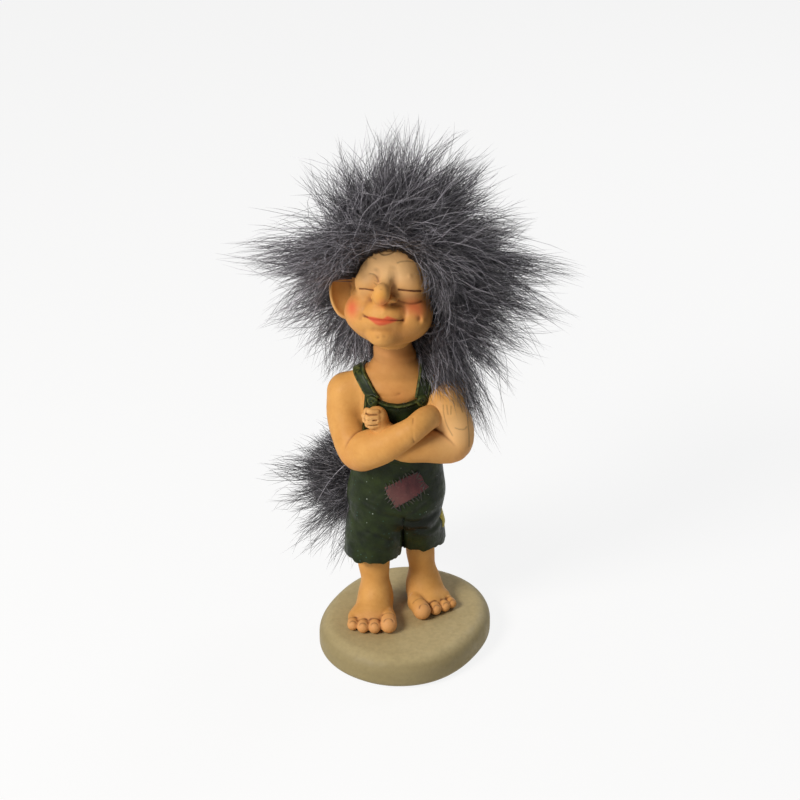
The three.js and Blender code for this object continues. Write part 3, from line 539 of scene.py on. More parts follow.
def green_finish():
    """Dungaree cloth: near-black green, blotched, dry-brushed with yellow green on the raised edges, and near
    black in its creases and hollows as painted shade.
    """
    f = Finish("painted_green", Specular_IOR_Level=0.16)
    blotch = f.cloud(6, 4, 0.35, 0.68)
    colour = f.mix(blotch, srgb(19, 27, 11), srgb(43, 54, 24))
    colour = f.lay_over(colour, f.cloud(2.4, 5, 0.52, 0.72), 0.45, srgb(16, 23, 20))
    brush = f.cloud(1.1, 4, 0.38, 0.6)
    edge = f.math("MULTIPLY", f.between(f.mask("edge"), 0.55, 1.25), brush)
    colour = f.lay_over(colour, edge, 0.75, srgb(116, 120, 60))
    # Painted shade: near black in the creases and where the shorts' dark mask lies
    crease = f.math("MULTIPLY", f.mask("crease"), 0.8)
    colour = f.mix(f.math("MAXIMUM", crease, f.mask("dark")), colour, srgb(11, 14, 10))
    worn = f.cloud(8, 2, 0.5, 0.7)
    teal = f.math("MULTIPLY", f.between(f.specks(1.5), 0.17, 0.11), worn)
    colour = f.lay_over(colour, teal, 0.7, srgb(72, 106, 98))
    white = f.math("MULTIPLY", f.between(f.specks(2.6), 0.075, 0.04), f.mask("fleck"))
    colour = f.lay_over(colour, white, 0.85, srgb(178, 190, 178))
    f.colour(colour)
    f.rough(f.cloud(1.8, 3, -0.1, 1.2))
    f.bump(f.noise(0.8, 5), 0.09)
    return f.material


def patch_finish(name, dark, light, thread):
    """A sewn-on scrap: brushed paint with pale scuffs over a rough weave, a painted highlight across it and
    painted shade in its creases.
    """
    f = Finish(name, Roughness=0.6, Specular_IOR_Level=0.3)
    brushed = f.cloud(1.6, 4, 0.35, 0.68, (1, 1, 0.35))
    colour = f.mix(brushed, dark, light)
    colour = f.lay_over(colour, f.cloud(0.8, 5, 0.6, 0.74), 0.45, thread)
    # Painted highlight, paler towards one lower corner; then painted shade in the creases
    colour = f.lay_over(colour, f.mask("pale"), 0.4, thread)
    f.colour(f.lay_over(colour, f.mask("crease"), 0.8, srgb(40, 22, 22)))
    f.bump(f.noise(0.6, 4), 0.12)
    return f.material


def thread_finish():
    """Sewing thread painted in dark strokes."""
    f = Finish("thread", Roughness=0.6)
    f.colour(f.mix(f.cloud(1.5, 2, 0.4, 0.62), srgb(18, 17, 16), srgb(58, 56, 44)))
    f.bump(f.noise(0.3, 2), 0.04)
    return f.material


def stone_finish():
    """The plinth: khaki with soft drifts of olive and sand, like a water-worn pebble."""
    f = Finish("plinth_stone", Specular_IOR_Level=0.3)
    drift = f.cloud(16, 3, 0.3, 0.7)
    colour = f.mix(drift, srgb(184, 166, 121), srgb(198, 180, 135))
    colour = f.lay_over(colour, f.cloud(1.2, 5, 0.35, 0.75), 0.3, srgb(136, 122, 88))
    colour = f.lay_over(colour, f.between(f.specks(1.1), 0.12, 0.06), 0.25, srgb(112, 100, 74))
    # Painted shade down the plinth's side, and painted shadows where the feet stand
    colour = f.lay_over(colour, f.mask("low"), 0.6, srgb(118, 106, 70))
    f.colour(f.lay_over(colour, f.mask("contact_shadow"), 0.4, srgb(112, 96, 62)))
    f.rough(f.cloud(3, 3, -0.6, 1.3))
    f.bump(f.noise(0.9, 5), 0.05)
    return f.material


def fur_finish():
    """Long-pile fur: slate grey to blue black, paler along some strands and at the tips, and near black
    towards the roots as painted shade.
    """
    f = Finish("fur", Roughness=0.3, Specular_IOR_Level=0.7)
    along = f.node("ShaderNodeUVMap", {}, uv_map="OFBake")
    tone, height = [f.node("ShaderNodeSeparateXYZ", {0: along}, axis) for axis in ("X", "Y")]
    colour = f.mix(tone, srgb(14, 13, 18), srgb(226, 222, 234))
    # Painted shade: near black towards the roots, where the dense fur shades itself
    colour = f.mix(f.between(height, 0.0, 0.4), srgb(12, 11, 15), colour)
    f.colour(f.lay_over(colour, f.between(height, 0.5, 1.0), 0.2, srgb(120, 117, 124)))
    return f.material


def knit_finish():
    """The knitted cloth that the fur grows from."""
    f = Finish("fur_backing", Roughness=0.95, Specular_IOR_Level=0.1)
    rows = f.node("ShaderNodeTexWave", {"Vector": f.place, "Scale": 420.0, "Distortion": 2.0})
    f.colour(f.mix(rows, srgb(24, 22, 27), srgb(44, 42, 48)))
    f.bump(rows, 0.15)
    return f.material


def hide_finish():
    """Rolled hide, creased along its length."""
    f = Finish("tail_hide", Roughness=0.7)
    f.colour(f.mix(f.cloud(1.5, 5, 0.3, 0.7), srgb(104, 70, 40), srgb(150, 106, 64)))
    f.bump(f.noise(0.5, 5), 0.1)
    return f.material


def steel_finish():
    """Drawn wire."""
    f = Finish("pin_steel", Roughness=0.35, Metallic=1.0)
    f.colour(f.mix(f.noise(0.4, 3, (1, 1, 0.05)), srgb(150, 150, 152), srgb(186, 186, 188)))
    return f.material


# Plinth

def plinth_shade(p):
    """Painted shadows where the feet stand, and painted shade down the plinth's side."""
    stands = [joint.world([(0, ahead, 0)])[0] for joint in (RIGHT_FOOT, LEFT_FOOT) for ahead in (0, -9)]
    low = np.clip((PLINTH["height"] + 0.3 - p[2]) / 2.2, 0, 1)
    return {"contact_shadow": np.maximum.reduce([spot(p, place, 7.5) for place in stands]), "low": low}


def make_plinth(material):
    inset = 0.6
    half = PLINTH["length"] / 2 - inset
    clay = Clay((-half - 1, -half - 1, -1), (half + 1, half + 1, PLINTH["height"] + 1), step=0.4)
    x, y, z = Joint((0, 0, 0), turn=PLINTH["turn"]).local(clay.points)
    fullness = 2.2
    u = np.abs(x) / half
    v = np.abs(y) / (PLINTH["width"] / 2 - inset)
    wall = ((u**fullness + v**fullness) ** (1 / fullness) - 1) * PLINTH["width"] / 2
    wall = wall + 0.25 * ripple((x, y, z), size=14, seed=5)
    middle = PLINTH["height"] / 2
    edge = np.where(z > middle, PLINTH["edge"], PLINTH["foot"])
    out = wall + edge
    up = np.abs(z - middle) - middle + edge
    field = np.hypot(np.maximum(out, 0), np.maximum(up, 0)) - edge + np.minimum(np.maximum(out, up), 0)
    cast("plinth_stone", clay, field, material, "plinth_stone", ["plinth"], plinth_shade)


# Legs

def foot_form(q, inner, toes, heel_at):
    """A bare foot from the leg's joint: inner is +1 where the big toe is on the +X side."""
    p = (q[0] * inner, q[1], q[2])
    _, big, far = toes[0]
    little = toes[-1][1]
    heel = far * 0.29
    middle = (big + little) / 2
    half = (big - little) / 2 + 1.1
    foot = join(ellipsoid(p, (*heel_at, 2.2), (heel, 3.2, 3.6)),
                ellipsoid(p, (middle, 5.4 - far, 1.5), (half, 4.4, 2.8)), 3)
    instep = [
        (heel_at[0], -0.6, 5.0, heel),
        (middle * 0.3, 7.4 - far, 3.0, heel),
        (middle * 0.8, 4.6 - far, 1.4, 3.0),
    ]
    foot = join(foot, limb(p, instep), 3)
    for place in (big, little):
        edge = [(place * 0.1, -0.5, 4.4, 2.7), (place * 0.8, 5.2 - far, 1.5, 2.0)]
        foot = join(foot, limb(p, edge), 2.5)
    for radius, place, reach in toes:
        toe = chain(p, [
            (place * 0.9, 5.5 - reach, radius * 1.05, radius * 0.85),
            (place, radius * 1.2 - reach, radius * 1.15, radius * 0.92),
            (place, 0.2 - reach, radius * 0.92, radius * 1.04),
        ])
        foot = join(foot, toe, 0.5)
    return foot


def toe_lines(inner, toes):
    """The creases of the toes and the rims of their nails, as paths from the leg's joint."""
    creases, nails = [], []
    for radius, place, reach in toes:
        x = inner * place
        bow = radius * 0.95
        nail = 0.6 * radius
        arc = np.radians(np.linspace(35, 145, 7))
        creases.append([
            (x + bow * math.cos(a), bow - reach, radius * (1.15 + 0.95 * math.sin(a))) for a in arc
        ])
        turn = np.radians(np.linspace(10, 170, 7))
        nails.append([
            (x + nail * math.cos(a), 0.6 * nail * math.sin(a) - reach - 0.45 * radius,
             radius * (1.62 + 0.2 * math.sin(a))) for a in turn
        ])
    for one, two in zip(toes, toes[1:]):
        place = (one[1] + two[1]) / 2 + (two[0] - one[0]) / 2
        reach = (one[2] + two[2]) / 2
        gap = ((4.6, 1.9), (2.6, 1.7), (0.6, 1.2))
        creases.append([(inner * place, y - reach, z * two[0]) for y, z in gap])
    return creases, nails


def make_leg(name, node, joint, inner, toes, heel_at, ankle, calf, material):
    """A leg and its foot. The ankle is given by its x, the calf by its x and by how much wider it is."""
    corners = joint.world([(x, y, 0) for x in (-10, 10) for y in (-17, 8)])
    low, high = corners.min(0), corners.max(0)
    clay = Clay((*low[:2], SOLE_Z - 1), (*high[:2], HEM_Z + 6), step=0.22)
    q = joint.local(clay.points)
    shin = column(q, [
        (1.5, ankle, 0.2, ANKLE_RADIUS + 0.3, ANKLE_RADIUS + 0.6),
        (LEG_LENGTH * 0.35, ankle, 0, ANKLE_RADIUS, ANKLE_RADIUS),
        (LEG_LENGTH * 0.75, calf[0], 0.2, CALF_RADIUS + calf[1], CALF_RADIUS),
        (LEG_LENGTH, calf[0], 0, KNEE_RADIUS + calf[1], KNEE_RADIUS),
        (LEG_LENGTH + 4, calf[0], 0, KNEE_RADIUS - 0.3, KNEE_RADIUS - 0.3),
    ])
    field = join(foot_form(q, inner, toes, heel_at), shin, 4.5)
    creases, nails = toe_lines(inner, toes)
    paths = [joint.world(path) for path in creases + nails]
    for path in paths:
        clay.press(field, path, width=0.26, depth=0.2)
    field = np.maximum(field, SOLE_Z - CLEARANCE - clay.points[2])

    def marks(p):
        q = joint.local(p)
        lines = np.maximum.reduce([stroke(p, path, 0.22) for path in paths])
        pads = np.clip((-q[1] - 9) / 4, 0, 1)
        knee = np.clip((q[2] - 16) / 6, 0, 1)
        return {"ink": 0.55 * lines, "blush": 0.2 * pads, "pale": 0.35 * pads, "shade": 0.3 * knee}

    cast(name, clay, field, material, "painted_skin", [node], marks)


# Shorts and patches

def shorts_form(p):
    """The outside of the shorts, from the hem's level, before folds."""
    def leg(hem):
        top = SHORTS_HEIGHT * 0.58
        lean = (HIPS["x"] - hem["x"]) * 0.15
        middle_depth = (hem["half_depth"] + HIPS["half_depth"]) / 2
        return column(p, [
            (-3, hem["x"], hem["y"], hem["half_width"], hem["half_depth"]),
            (0, hem["x"], hem["y"], hem["half_width"], hem["half_depth"]),
            (top * 0.5, hem["x"] + lean, (hem["y"] + HIPS["y"]) / 2, hem["half_width"], middle_depth),
            (top, hem["x"] + 2 * lean, HIPS["y"], hem["half_width"] * 0.7, HIPS["half_depth"] * 0.82),
        ])

    def hips(level, body, width=1, depth=1):
        return (level, body["x"], body["y"], body["half_width"] * width, body["half_depth"] * depth)

    seat = column(p, [
        hips(CROTCH - 3, HIPS, 0.5, 0.5),
        hips(CROTCH, HIPS, 0.86, 0.84),
        hips(SHORTS_HEIGHT * 0.55, HIPS),
        hips(SHORTS_HEIGHT * 0.8, WAIST, 1.03),
        hips(SHORTS_HEIGHT, WAIST, 0.97),
        hips(SHORTS_HEIGHT + 2.5, WAIST, 0.96),
    ])
    return join(join(leg(RIGHT_HEM), leg(LEFT_HEM), 0.4), seat, 2.2)


# Folds of the shorts, as seen from the front: points (x, height above the hem), then width and depth
FRONT_FOLDS = [
    ([(-11, 17.5), (-6.5, 15.9), (-1.3, 15.0), (2.5, 16.3), (5.5, 18.6)], 1.0, 0.35),
    ([(-0.5, 14.5), (-0.7, 9), (-0.7, 4), (-0.7, -3)], 0.3, 0.5),
    ([(-10.4, 9.9), (-7, 8.1), (-4.6, 6.4)], 0.8, 0.4),
    ([(-15.5, 12.5), (-12, 10.4)], 1.0, 0.25),
    ([(-0.6, 13.6), (3.4, 12.6), (8, 13.8)], 0.9, 0.45),
    ([(3.6, 9.6), (7, 8.4), (10, 9.4)], 0.8, 0.35),
    ([(-15, 4.6), (-12.5, 6.4)], 0.8, 0.2),
    ([(-12, 24.5), (-9, 22.5), (-7.5, 22.8)], 1.2, 0.2),
    ([(7, 22), (9.5, 20)], 1.1, 0.2),
]


def hem_level(p, hem, phase, height):
    """The ragged lower edge of a trouser leg: scallops round it, about a height above the hem's level."""
    angle = np.arctan2(p[1] - hem["y"], p[0] - hem["x"])
    scallops = 0.3 * np.sin(7 * angle + phase) + 0.2 * np.sin(13 * angle + 2 * phase)
    return height + (scallops + 0.1 * np.sin(23 * angle))


def shorts_field(p):
    """The shorts with folds and ragged hems, from the hem's level."""
    field = shorts_form(p)
    front = 1 / (1 + np.exp((p[1] - HIPS["y"]) * 2))
    for path, width, depth in FRONT_FOLDS:
        away = away_from((p[0], 0 * p[0], p[2]), smooth_path([(x, 0, z) for x, z in path]))
        lift = 0.3 * bell(away - 2.2 * width, width) * (width > 0.5)
        field = field + front * depth * (bell(away, width) - lift)
    drape = np.sin(p[0] * 1.15 + 1.2 * np.sin(p[2] * 0.35)) * np.clip((7 - p[2]) / 9, 0, 1)
    field = field - 0.2 * drape - 0.12 * ripple(p, size=5.5, seed=11)
    right = p[0] < RIGHT_HEM["x"] + RIGHT_HEM["half_width"]
    right_level = hem_level(p, RIGHT_HEM, phase=0.6, height=-1.1)
    left_level = hem_level(p, LEFT_HEM, phase=2.1, height=-0.1)
    field = meet(field, np.where(right, right_level, left_level) - p[2], 0.7)
    for hem in (RIGHT_HEM, LEFT_HEM):
        inside = (hem["half_width"] - HEM_WALL, hem["half_depth"] - HEM_WALL)
        hollow = column(p, [(z, hem["x"], hem["y"], *inside) for z in (-4, -1, 2, 4.5)])
        field = meet(field, -hollow, 0.5)
    return field


def make_shorts(material):
    clay = Clay((-20, -11, HEM_Z - 3), (15, 18, HEM_Z + SHORTS_HEIGHT + 4), step=0.26)
    field = shorts_field(LOWER.local(clay.points))

    def flecks_and_shade(p):
        # Painted shade between the legs and over the top of the left leg; white flecks on the front
        dark = 0.75 * spot(p, (0.2, -5, HEM_Z + 11), 4) + 0.5 * spot(p, (5, -4, HEM_Z + 12), 4)
        dark = dark + 0.35 * spot(p, (7, -1, HEM_Z + 5), 8)
        return {"fleck": 0.3 + spot(p, (-9, -8, 50), 7) + 0.5 * spot(p, (6, -8, 50), 5), "dark": dark}

    cast("shorts_cloth", clay, field, material, "painted_green", ["shorts"], flecks_and_shade)


def patch_corners(patch):
    """A patch's wavering outline on its own plane."""
    half_width, half_height = patch["width"] / 2, patch["height"] / 2
    turn = math.radians(patch["turn"])
    square = [(-1, -1), (1, -1), (1, 1), (-1, 1)]
    corners = []
    for (x0, z0), (x1, z1) in zip(square, square[1:] + square[:1]):
        for share in np.arange(6) / 6:
            wave = 1 + 0.035 * math.sin(9 * share + 3 * x0 + z0)
            x = (x0 + (x1 - x0) * share) * half_width * wave
            z = (z0 + (z1 - z0) * share) * half_height * wave
            corners.append((x * math.cos(turn) - z * math.sin(turn), x * math.sin(turn) + z * math.cos(turn)))
    return corners


def patch_plane(p, patch):
    """A patch's own plane: across, forward out of the cloth, and up, from its middle."""
    facing = math.radians(patch["facing"])
    x = p[0] - HIPS["x"] - patch["x"]
    y = p[1] - HIPS["y"]
    return (x * math.cos(facing) + y * math.sin(facing), y * math.cos(facing) - x * math.sin(facing),
            p[2] - patch["above_hem"])


def make_patch(name, patch, low, high, material, slot, node):
    clay = Clay(low, high, step=0.16)
    p = LOWER.local(clay.points)
    cloth = shorts_field(p)
    across, ahead, up = patch_plane(p, patch)
    rim = outline(across, up, patch_corners(patch))
    lift = 0.12 * ripple(p, size=1.6, seed=3)
    field = meet(np.abs(cloth - 0.05) - 0.3 + lift, np.maximum(rim, ahead), 0.35)

    def marks(p):
        across, _, up = patch_plane(LOWER.local(p), patch)
        # A painted highlight across the patch, paler towards one lower corner
        return {"pale": np.clip(0.3 - 0.1 * across - 0.14 * up, 0, 1)}

    cast(name, clay, field, material, slot, [node], marks)


def onto(points, distance, lift, rounds=6):
    """Points moved along a shape's slope until they stand that far off it."""
    points = np.array(points, float)
    small = 0.05
    for _ in range(rounds):
        away = distance(points.T)
        slope = np.stack([(distance((points + small * axis).T) - away) / small for axis in np.eye(3)], axis=1)
        slope /= np.maximum(np.linalg.norm(slope, axis=1, keepdims=True), 1e-6)
        points -= (away - lift)[:, None] * slope
    return points


def tube(path, radii):
    """Rings of places and quads of a six-sided tube along a path."""
    sides = 6
    path = np.asarray(path, float)
    along = unit(np.gradient(path, axis=0))
    one = unit(np.cross(along, (0.3, 0.5, 0.81)))
    two = np.cross(along, one)
    angles = 2 * math.pi * np.arange(sides) / sides
    rings = np.cos(angles)[None, :, None] * one[:, None] + np.sin(angles)[None, :, None] * two[:, None]
    places = (path[:, None] + rings * np.asarray(radii)[:, None, None]).reshape(-1, 3)
    quads = []
    for ring in range(len(path) - 1):
        for i in range(sides):
            j = (i + 1) % sides
            quads.append((ring * sides + i, ring * sides + j, (ring + 1) * sides + j, (ring + 1) * sides + i))
    return places, np.array(quads)


def tubes(paths, radius):
    """Many tubes with tapered ends as one mesh."""
    places, quads, count = [], [], 0
    for path in paths:
        taper = np.sin(np.linspace(0.15, math.pi - 0.15, len(path))) ** 0.5
        ring, faces = tube(path, radius * taper)
        places.append(ring)
        quads.append(faces + count)
        count += len(ring)
    return np.vstack(places), np.vstack(quads)


def make_stitches(material):
    """Thread across the edges of the red patch, in slanting strokes."""
    rng = np.random.default_rng(seed=21)
    corners = patch_corners(RED_PATCH)
    closed = np.array(corners + corners[:1])
    lengths = np.r_[0, np.cumsum(np.linalg.norm(np.diff(closed, axis=0), axis=1))]
    middle = (HIPS["x"] + RED_PATCH["x"], RED_PATCH["above_hem"])
    spacing = 1.15
    paths = []
    for at in np.arange(0.4, lengths[-1], spacing):
        x, z = [np.interp(at, lengths, closed[:, i]) for i in range(2)]
        ahead = [np.interp(at + 0.2, lengths, closed[:, i]) for i in range(2)]
        way = np.array(ahead) - (x, z)
        way /= np.linalg.norm(way)
        slant = rng.uniform(-0.5, 0.5)
        across = np.array([way[1], -way[0]]) + slant * way
        inner, outer = rng.uniform(0.5, 1.2), rng.uniform(0.8, 1.5)
        shares = np.linspace(-inner, outer, 7)
        line = [(middle[0] + x + across[0] * s, -8, middle[1] + z + across[1] * s) for s in shares]
        paths.append(LOWER.world(onto(line, shorts_field, lift=0.3)))
    piece("patch_stitches", *tubes(paths, 0.2), material, "painted_green")


# Torso and its clothes

def torso_form(q):
    """Belly, chest, sloping shoulders and neck, from the middle of the waist."""
    half, depth = 12.5, 9.0
    trunk = column(q, [
        (-2, 0, 0, half, depth + 0.5),
        (0, 0, 0, half, depth + 0.5),
        (TORSO_HEIGHT * 0.3, 0, 0, half, depth + 0.3),
        (TORSO_HEIGHT * 0.58, 0, 0, half + 0.6, depth),
        (TORSO_HEIGHT * 0.8, 0, -0.3, half + 0.6, depth - 1.2),
        (TORSO_HEIGHT * 0.93, 0, -0.6, half - 0.6, NECK_RADIUS + 0.2),
        (TORSO_HEIGHT, 0, -1, NECK_RADIUS + 2.4, NECK_RADIUS - 0.4),
        (TORSO_HEIGHT + 2.6, 0, -1, NECK_RADIUS - 1.2, NECK_RADIUS - 1.4),
    ])
    neck = limb(q, neck_stations())
    return join(trunk, neck, 5.0)


def neck_stations():
    return [(-0.7, -1, TORSO_HEIGHT - 4, NECK_RADIUS), (-1.1, -1, TORSO_HEIGHT + 4, NECK_RADIUS),
            (-1.45, -1, TORSO_HEIGHT + NECK_LENGTH, NECK_RADIUS)]


def make_torso(material):
    clay = Clay((-19, -9, 60), (15, 15, 107), step=0.26)
    q = UPPER.local(clay.points)
    field = torso_form(q)
    for side in (-1, 1):
        bone = [(side * 1.6, -7.6, 20.6), (side * 4.5, -7.4, 21.4), (side * 8, -6.2, 23.4)]
        bone = UPPER.world(smooth_path(bone))
        clay.press(field, bone, width=1.1, depth=-0.35)
        clay.press(field, bone - (0, 0, 1.9), width=0.9, depth=0.3)
    fold = UPPER.world(smooth_path([(-5, -7.8, 21.4), (-2, -8, 21.1), (0.6, -8, 21.9)]))
    clay.press(field, fold, width=0.5, depth=0.3)

    def marks(p):
        q = UPPER.local(p)
        neck = np.clip((q[2] - 25) / 7, 0, 1)
        # Painted shade: the neck darker under the head, and the whole torso a little darker
        shade = 0.1 + 0.4 * neck * np.clip(0.5 - q[0] / 10, 0, 1)
        brown_shade = 0.9 * (neck * (0.7 + 0.3 * np.clip(q[0] / 5, -1, 1))) + 0.25
        return {"brown_shade": brown_shade, "blush": 0.12 * spot(q, (0, -8, 19), 7), "shade": shade}

    cast("torso_skin", clay, field + 0.02, material, "painted_skin", ["torso"], marks)


def bib_corners():
    half = BIB["width"] / 2
    foot = half + BIB["spread"]
    shares = np.linspace(0, 1, 9)
    scoop = [(half - BIB["width"] * s, BIB["height"] - BIB["scoop"] * math.sin(math.pi * s)) for s in shares]
    return [(-foot, -4), (foot, -4), *scoop]


def cloth_layer(torso, rim):
    """A layer on the torso, thicker along its rim like a turned and stitched hem."""
    roll = 0.2 * bell(rim + 0.45, 0.26) - 0.1 * bell(rim + 1.0, 0.3)
    middle = CLEARANCE + CLOTH / 2
    return meet(np.abs(torso - middle + 0.3) - CLOTH / 2 - 0.3 - roll, rim, 0.45)


def make_panel(name, node, forward, material):
    """The bib, or its like on the back."""
    clay = Clay((-17, -10 if forward else 1, 60), (13, 5 if forward else 16, 86), step=0.2)
    q = UPPER.local(clay.points)
    rim = np.maximum(outline(q[0], q[2], bib_corners()), q[1] if forward else -q[1])
    sink = 1.6 * np.clip((2 - q[2]) / 3, 0, 1)
    field = cloth_layer(torso_form(q) + sink - 0.1 * ripple(q, size=3.5, seed=8), rim)
    cast(name, clay, field, material, "painted_green", [node])


def make_strap(name, node, side, spread, cut, material):
    """A strap from the bib's corner, which spreads outward as it rises and is cut off at a height."""
    clay = Clay((-20, -9, 80), (16, 15, 100), step=0.18)
    q = UPPER.local(clay.points)
    low = BIB["height"] - 0.8
    share = (q[2] - low) / (STRAP["top"] - low)
    middle = side * (BIB["width"] / 2 - STRAP["width"] / 2 + spread * share)
    ends = np.maximum(low - q[2], q[2] - cut)
    rim = np.maximum(np.abs(q[0] - middle) - STRAP["width"] / 2, ends)
    field = cloth_layer(torso_form(q) - 0.08 * ripple(q, size=2.5, seed=9), rim)
    cast(name, clay, field, material, "painted_green", [node])


def make_button(name, node, side, material):
    """A domed button with two holes, on the end of a strap."""
    x = side * (BIB["width"] / 2 - STRAP["width"] / 2)
    z = BIB["height"] - BUTTON["radius"]
    start = UPPER.world([(x, -8, z)])[0]
    clay = Clay(start - (2.6, 3.5, 2.6), start + (2.6, 4.5, 2.6), step=0.12)
    q = UPPER.local(clay.points)
    torso = torso_form(q)
    away = np.hypot(q[0] - x, q[2] - z)
    top = CLEARANCE + CLOTH + 0.35 + BUTTON["thickness"]
    dome = torso - top + 0.12 * away**2
    field = meet(np.maximum(dome, CLOTH * 0.5 - torso), away - BUTTON["radius"], 0.35)
    for turn in (0.8, 0.8 + math.pi):
        hole = np.hypot(q[0] - x - 0.4 * math.cos(turn), q[2] - z - 0.4 * math.sin(turn))
        field = field + 0.3 * bell(hole, 0.2)
    cast(name, clay, field, material, "painted_green", [node])


# Arms

ARM_STEPS = 5  # between the stations of an arm

# The curled fingers of the left fist, from the middle of the waist: knuckle, bend and tip
FIST = [
    [(-5.6, -14.3, 19.5, 0.85), (-7.6, -14.6, 19.7, 0.9), (-8.5, -13.1, 19.3, 0.85)],
    [(-5.6, -15.0, 18.2, 0.9), (-7.9, -15.3, 18.3, 0.95), (-8.9, -13.7, 18.0, 0.9)],
    [(-5.6, -15.3, 16.9, 0.85), (-7.9, -15.6, 16.9, 0.9), (-8.9, -14, 16.7, 0.85)],
    [(-5.4, -15.1, 15.7, 0.8), (-7.4, -15.4, 15.6, 0.82), (-8.3, -14.1, 15.5, 0.75)],
]


def fist_creases():
    """The lines between the fingers and across their knuckles."""
    creases = []
    for one, two in zip(FIST, FIST[1:]):
        gap = [(np.array(a[:3]) + b[:3]) / 2 - (0, min(a[3], b[3]) * 0.55, 0) for a, b in zip(one, two)]
        creases.append(UPPER.world(gap))
    for _, fold, tip in FIST:
        up = np.array([0, 0, fold[3] * 0.8])
        front = np.array(fold[:3]) * 0.6 + np.array(tip[:3]) * 0.4 - (fold[3] * 0.6, fold[3] * 0.6, 0)
        creases.append(UPPER.world([front - up, front - (0.15, 0.15, 0), front + up]))
    return creases


def onto_torso(arm, q, shoulder):
    """An arm with a fillet onto the torso round its shoulder, and nothing more of the torso."""
    torso = torso_form(q)
    return fillet(arm, torso, 0.25 + 4.2 * spot(q, shoulder, 9.0))


def wrist_line():
    """The thin line round the right wrist."""
    line = [(4.3, -17, 19), (4.2, -19.6, 17.4), (4.2, -20.3, 14.8), (4.6, -19.6, 12.8)]
    return UPPER.world(smooth_path(line))


# Stray hairs that lie on the left arm, as the camera sees them: millimetres across and up from a place on it
ARM_HAIRS_AT = (18, -38)
ARM_HAIRS = [
    [(-4.06, 6.3), (-3.9, 3.8), (-3.13, 1), (-1.55, -2)],
    [(2.5, 3.8), (2.7, 1), (2.98, -1.85), (2.98, -5)],
    [(-0.8, 0.05), (0.3, -0.3), (1.6, -0.3), (2.35, 0.35)],
    [(-3.13, 6.3), (-2.8, 3.8)],
    [(-1.9, 6), (-2, 3.8)],
    [(0.6, 6.3), (1.26, 4.4)],
]


def arm_marks(p):
    q = UPPER.local(p)
    lines = np.maximum.reduce([stroke(p, crease, 0.22) for crease in fist_creases()])
    lines = np.maximum(lines, stroke(p, wrist_line(), 0.16))
    hairs = Drawing(half=8)
    hairs.lines([(path, 0.15, 1) for path in ARM_HAIRS])
    place = [c - m for c, m in zip(face_view(p), ARM_HAIRS_AT)]
    seen = hairs.at(*place) * np.clip((-5 - q[1]) / 2, 0, 1)
    return {
        "blush": 0.2 * spot(q, (-11, -10, 2), 5) + 0.2 * spot(q, (17, -12, 4), 5),
        "ink": 0.4 * lines + 0.5 * seen,
        # Painted light on the left fist's knuckles and the left upper arm
        "pale": 0.5 * spot(q, (-7.5, -15, 17.6), 3.5) + 0.9 * spot(q, (16, -12, 13), 7),
        # Painted shade on the left forearm under the right one
        "brown_shade": 0.5 * spot(q, (6, -15, 9), 7),
    }


def make_right_arm(material):
    clay = Clay((-25, -24, 58), (16, 12, 92), step=0.26)
    q = UPPER.local(clay.points)
    field = onto_torso(limb(q, RIGHT_ARM, ARM_STEPS), q, RIGHT_ARM[0][:3])
    clay.press(field, wrist_line(), width=0.35, depth=0.16)
    cast("right_arm_skin", clay, field, material, "painted_skin", ["right_arm"], arm_marks)


def make_left_arm(material):
    clay = Clay((-16, -18, 60), (23, 12, 92), step=0.26)
    q = UPPER.local(clay.points)
    hand = swell(limb(q, LEFT_ARM, ARM_STEPS), q, (-5.5, -12.9, 17.2), (2.5, 2.5, 2.7), 1.5)
    for finger in FIST:
        hand = join(hand, limb(q, finger, steps=3), 0.3)
    hand = hand - 0.3 * ripple(q, size=1.7, seed=12) * spot(q, (-7, -14.5, 17.5), 4)
    field = onto_torso(hand, q, LEFT_ARM[0][:3])
    for crease in fist_creases():
        clay.press(field, crease, width=0.22, depth=0.4)
    cast("left_arm_skin", clay, field, material, "painted_skin", ["left_arm"], arm_marks)


# Head. The face's features are drawn as the camera sees them: millimetres across and up from the head's joint

RIGHT_EYE = [(-8.84, 0.03), (-7.5, -0.03), (-6.27, -0.19), (-5.1, -0.38)]
LEFT_EYE = [(1.8, -0.2), (3.5, -0.4), (5.2, -0.55), (6.5, -0.6), (7.8, -0.55)]
LEFT_CHEEK_LINE = [(0.55, -2.1), (1.77, -3.19), (3.22, -3.68), (4.94, -4.06), (6.63, -3.93), (7.86, -3.44)]
RIGHT_BROW = [(-7.2, 8.2), (-5.78, 8.62), (-4.45, 8.18)]
LEFT_BROW = [(1.47, 7.09), (2.26, 7.39), (3.46, 7.56), (4.69, 7.53), (5.78, 7.31)]
RIGHT_LID = [(-6.03, 4.17), (-5.05, 3.98), (-4.2, 3.25), (-3.71, 2.05)]
MOUTH = [(-7.4, -7.5), (-5.0, -8.43), (-2.6, -8.56), (-0.35, -8.67), (3.05, -8.56)]
FOREHEAD_CURLS = [
    [(-4.4, 10.9), (-2.9, 9.4), (-1.4, 9.3), (0.2, 9.9), (1.2, 10.8)],
    [(-2.6, 11), (-1.4, 10.2), (0.2, 10.4), (0.9, 11)],
    [(-6.2, 9.2), (-5.2, 9.9), (-4.4, 10.6)],
]
LIPS = [(-7.3, -7.45), (-5.15, -7.66), (-3.6, -8.0), (-2.6, -8.2), (-1.3, -7.4), (0.2, -7.9), (1.6, -8.4),
        (0.8, -8.95), (-0.35, -9.4), (-1.9, -9.9), (-3.4, -10.1), (-4.5, -9.7), (-5.4, -9.0)]
RIGHT_SMILE = [(-6.16, -3.19), (-7.26, -4.53), (-8.21, -6.49), (-8.5, -7.94)]
LEFT_SMILE = [(0.3, -4.06), (2.86, -4.77), (3.4, -7.0), (2.9, -8.9)]


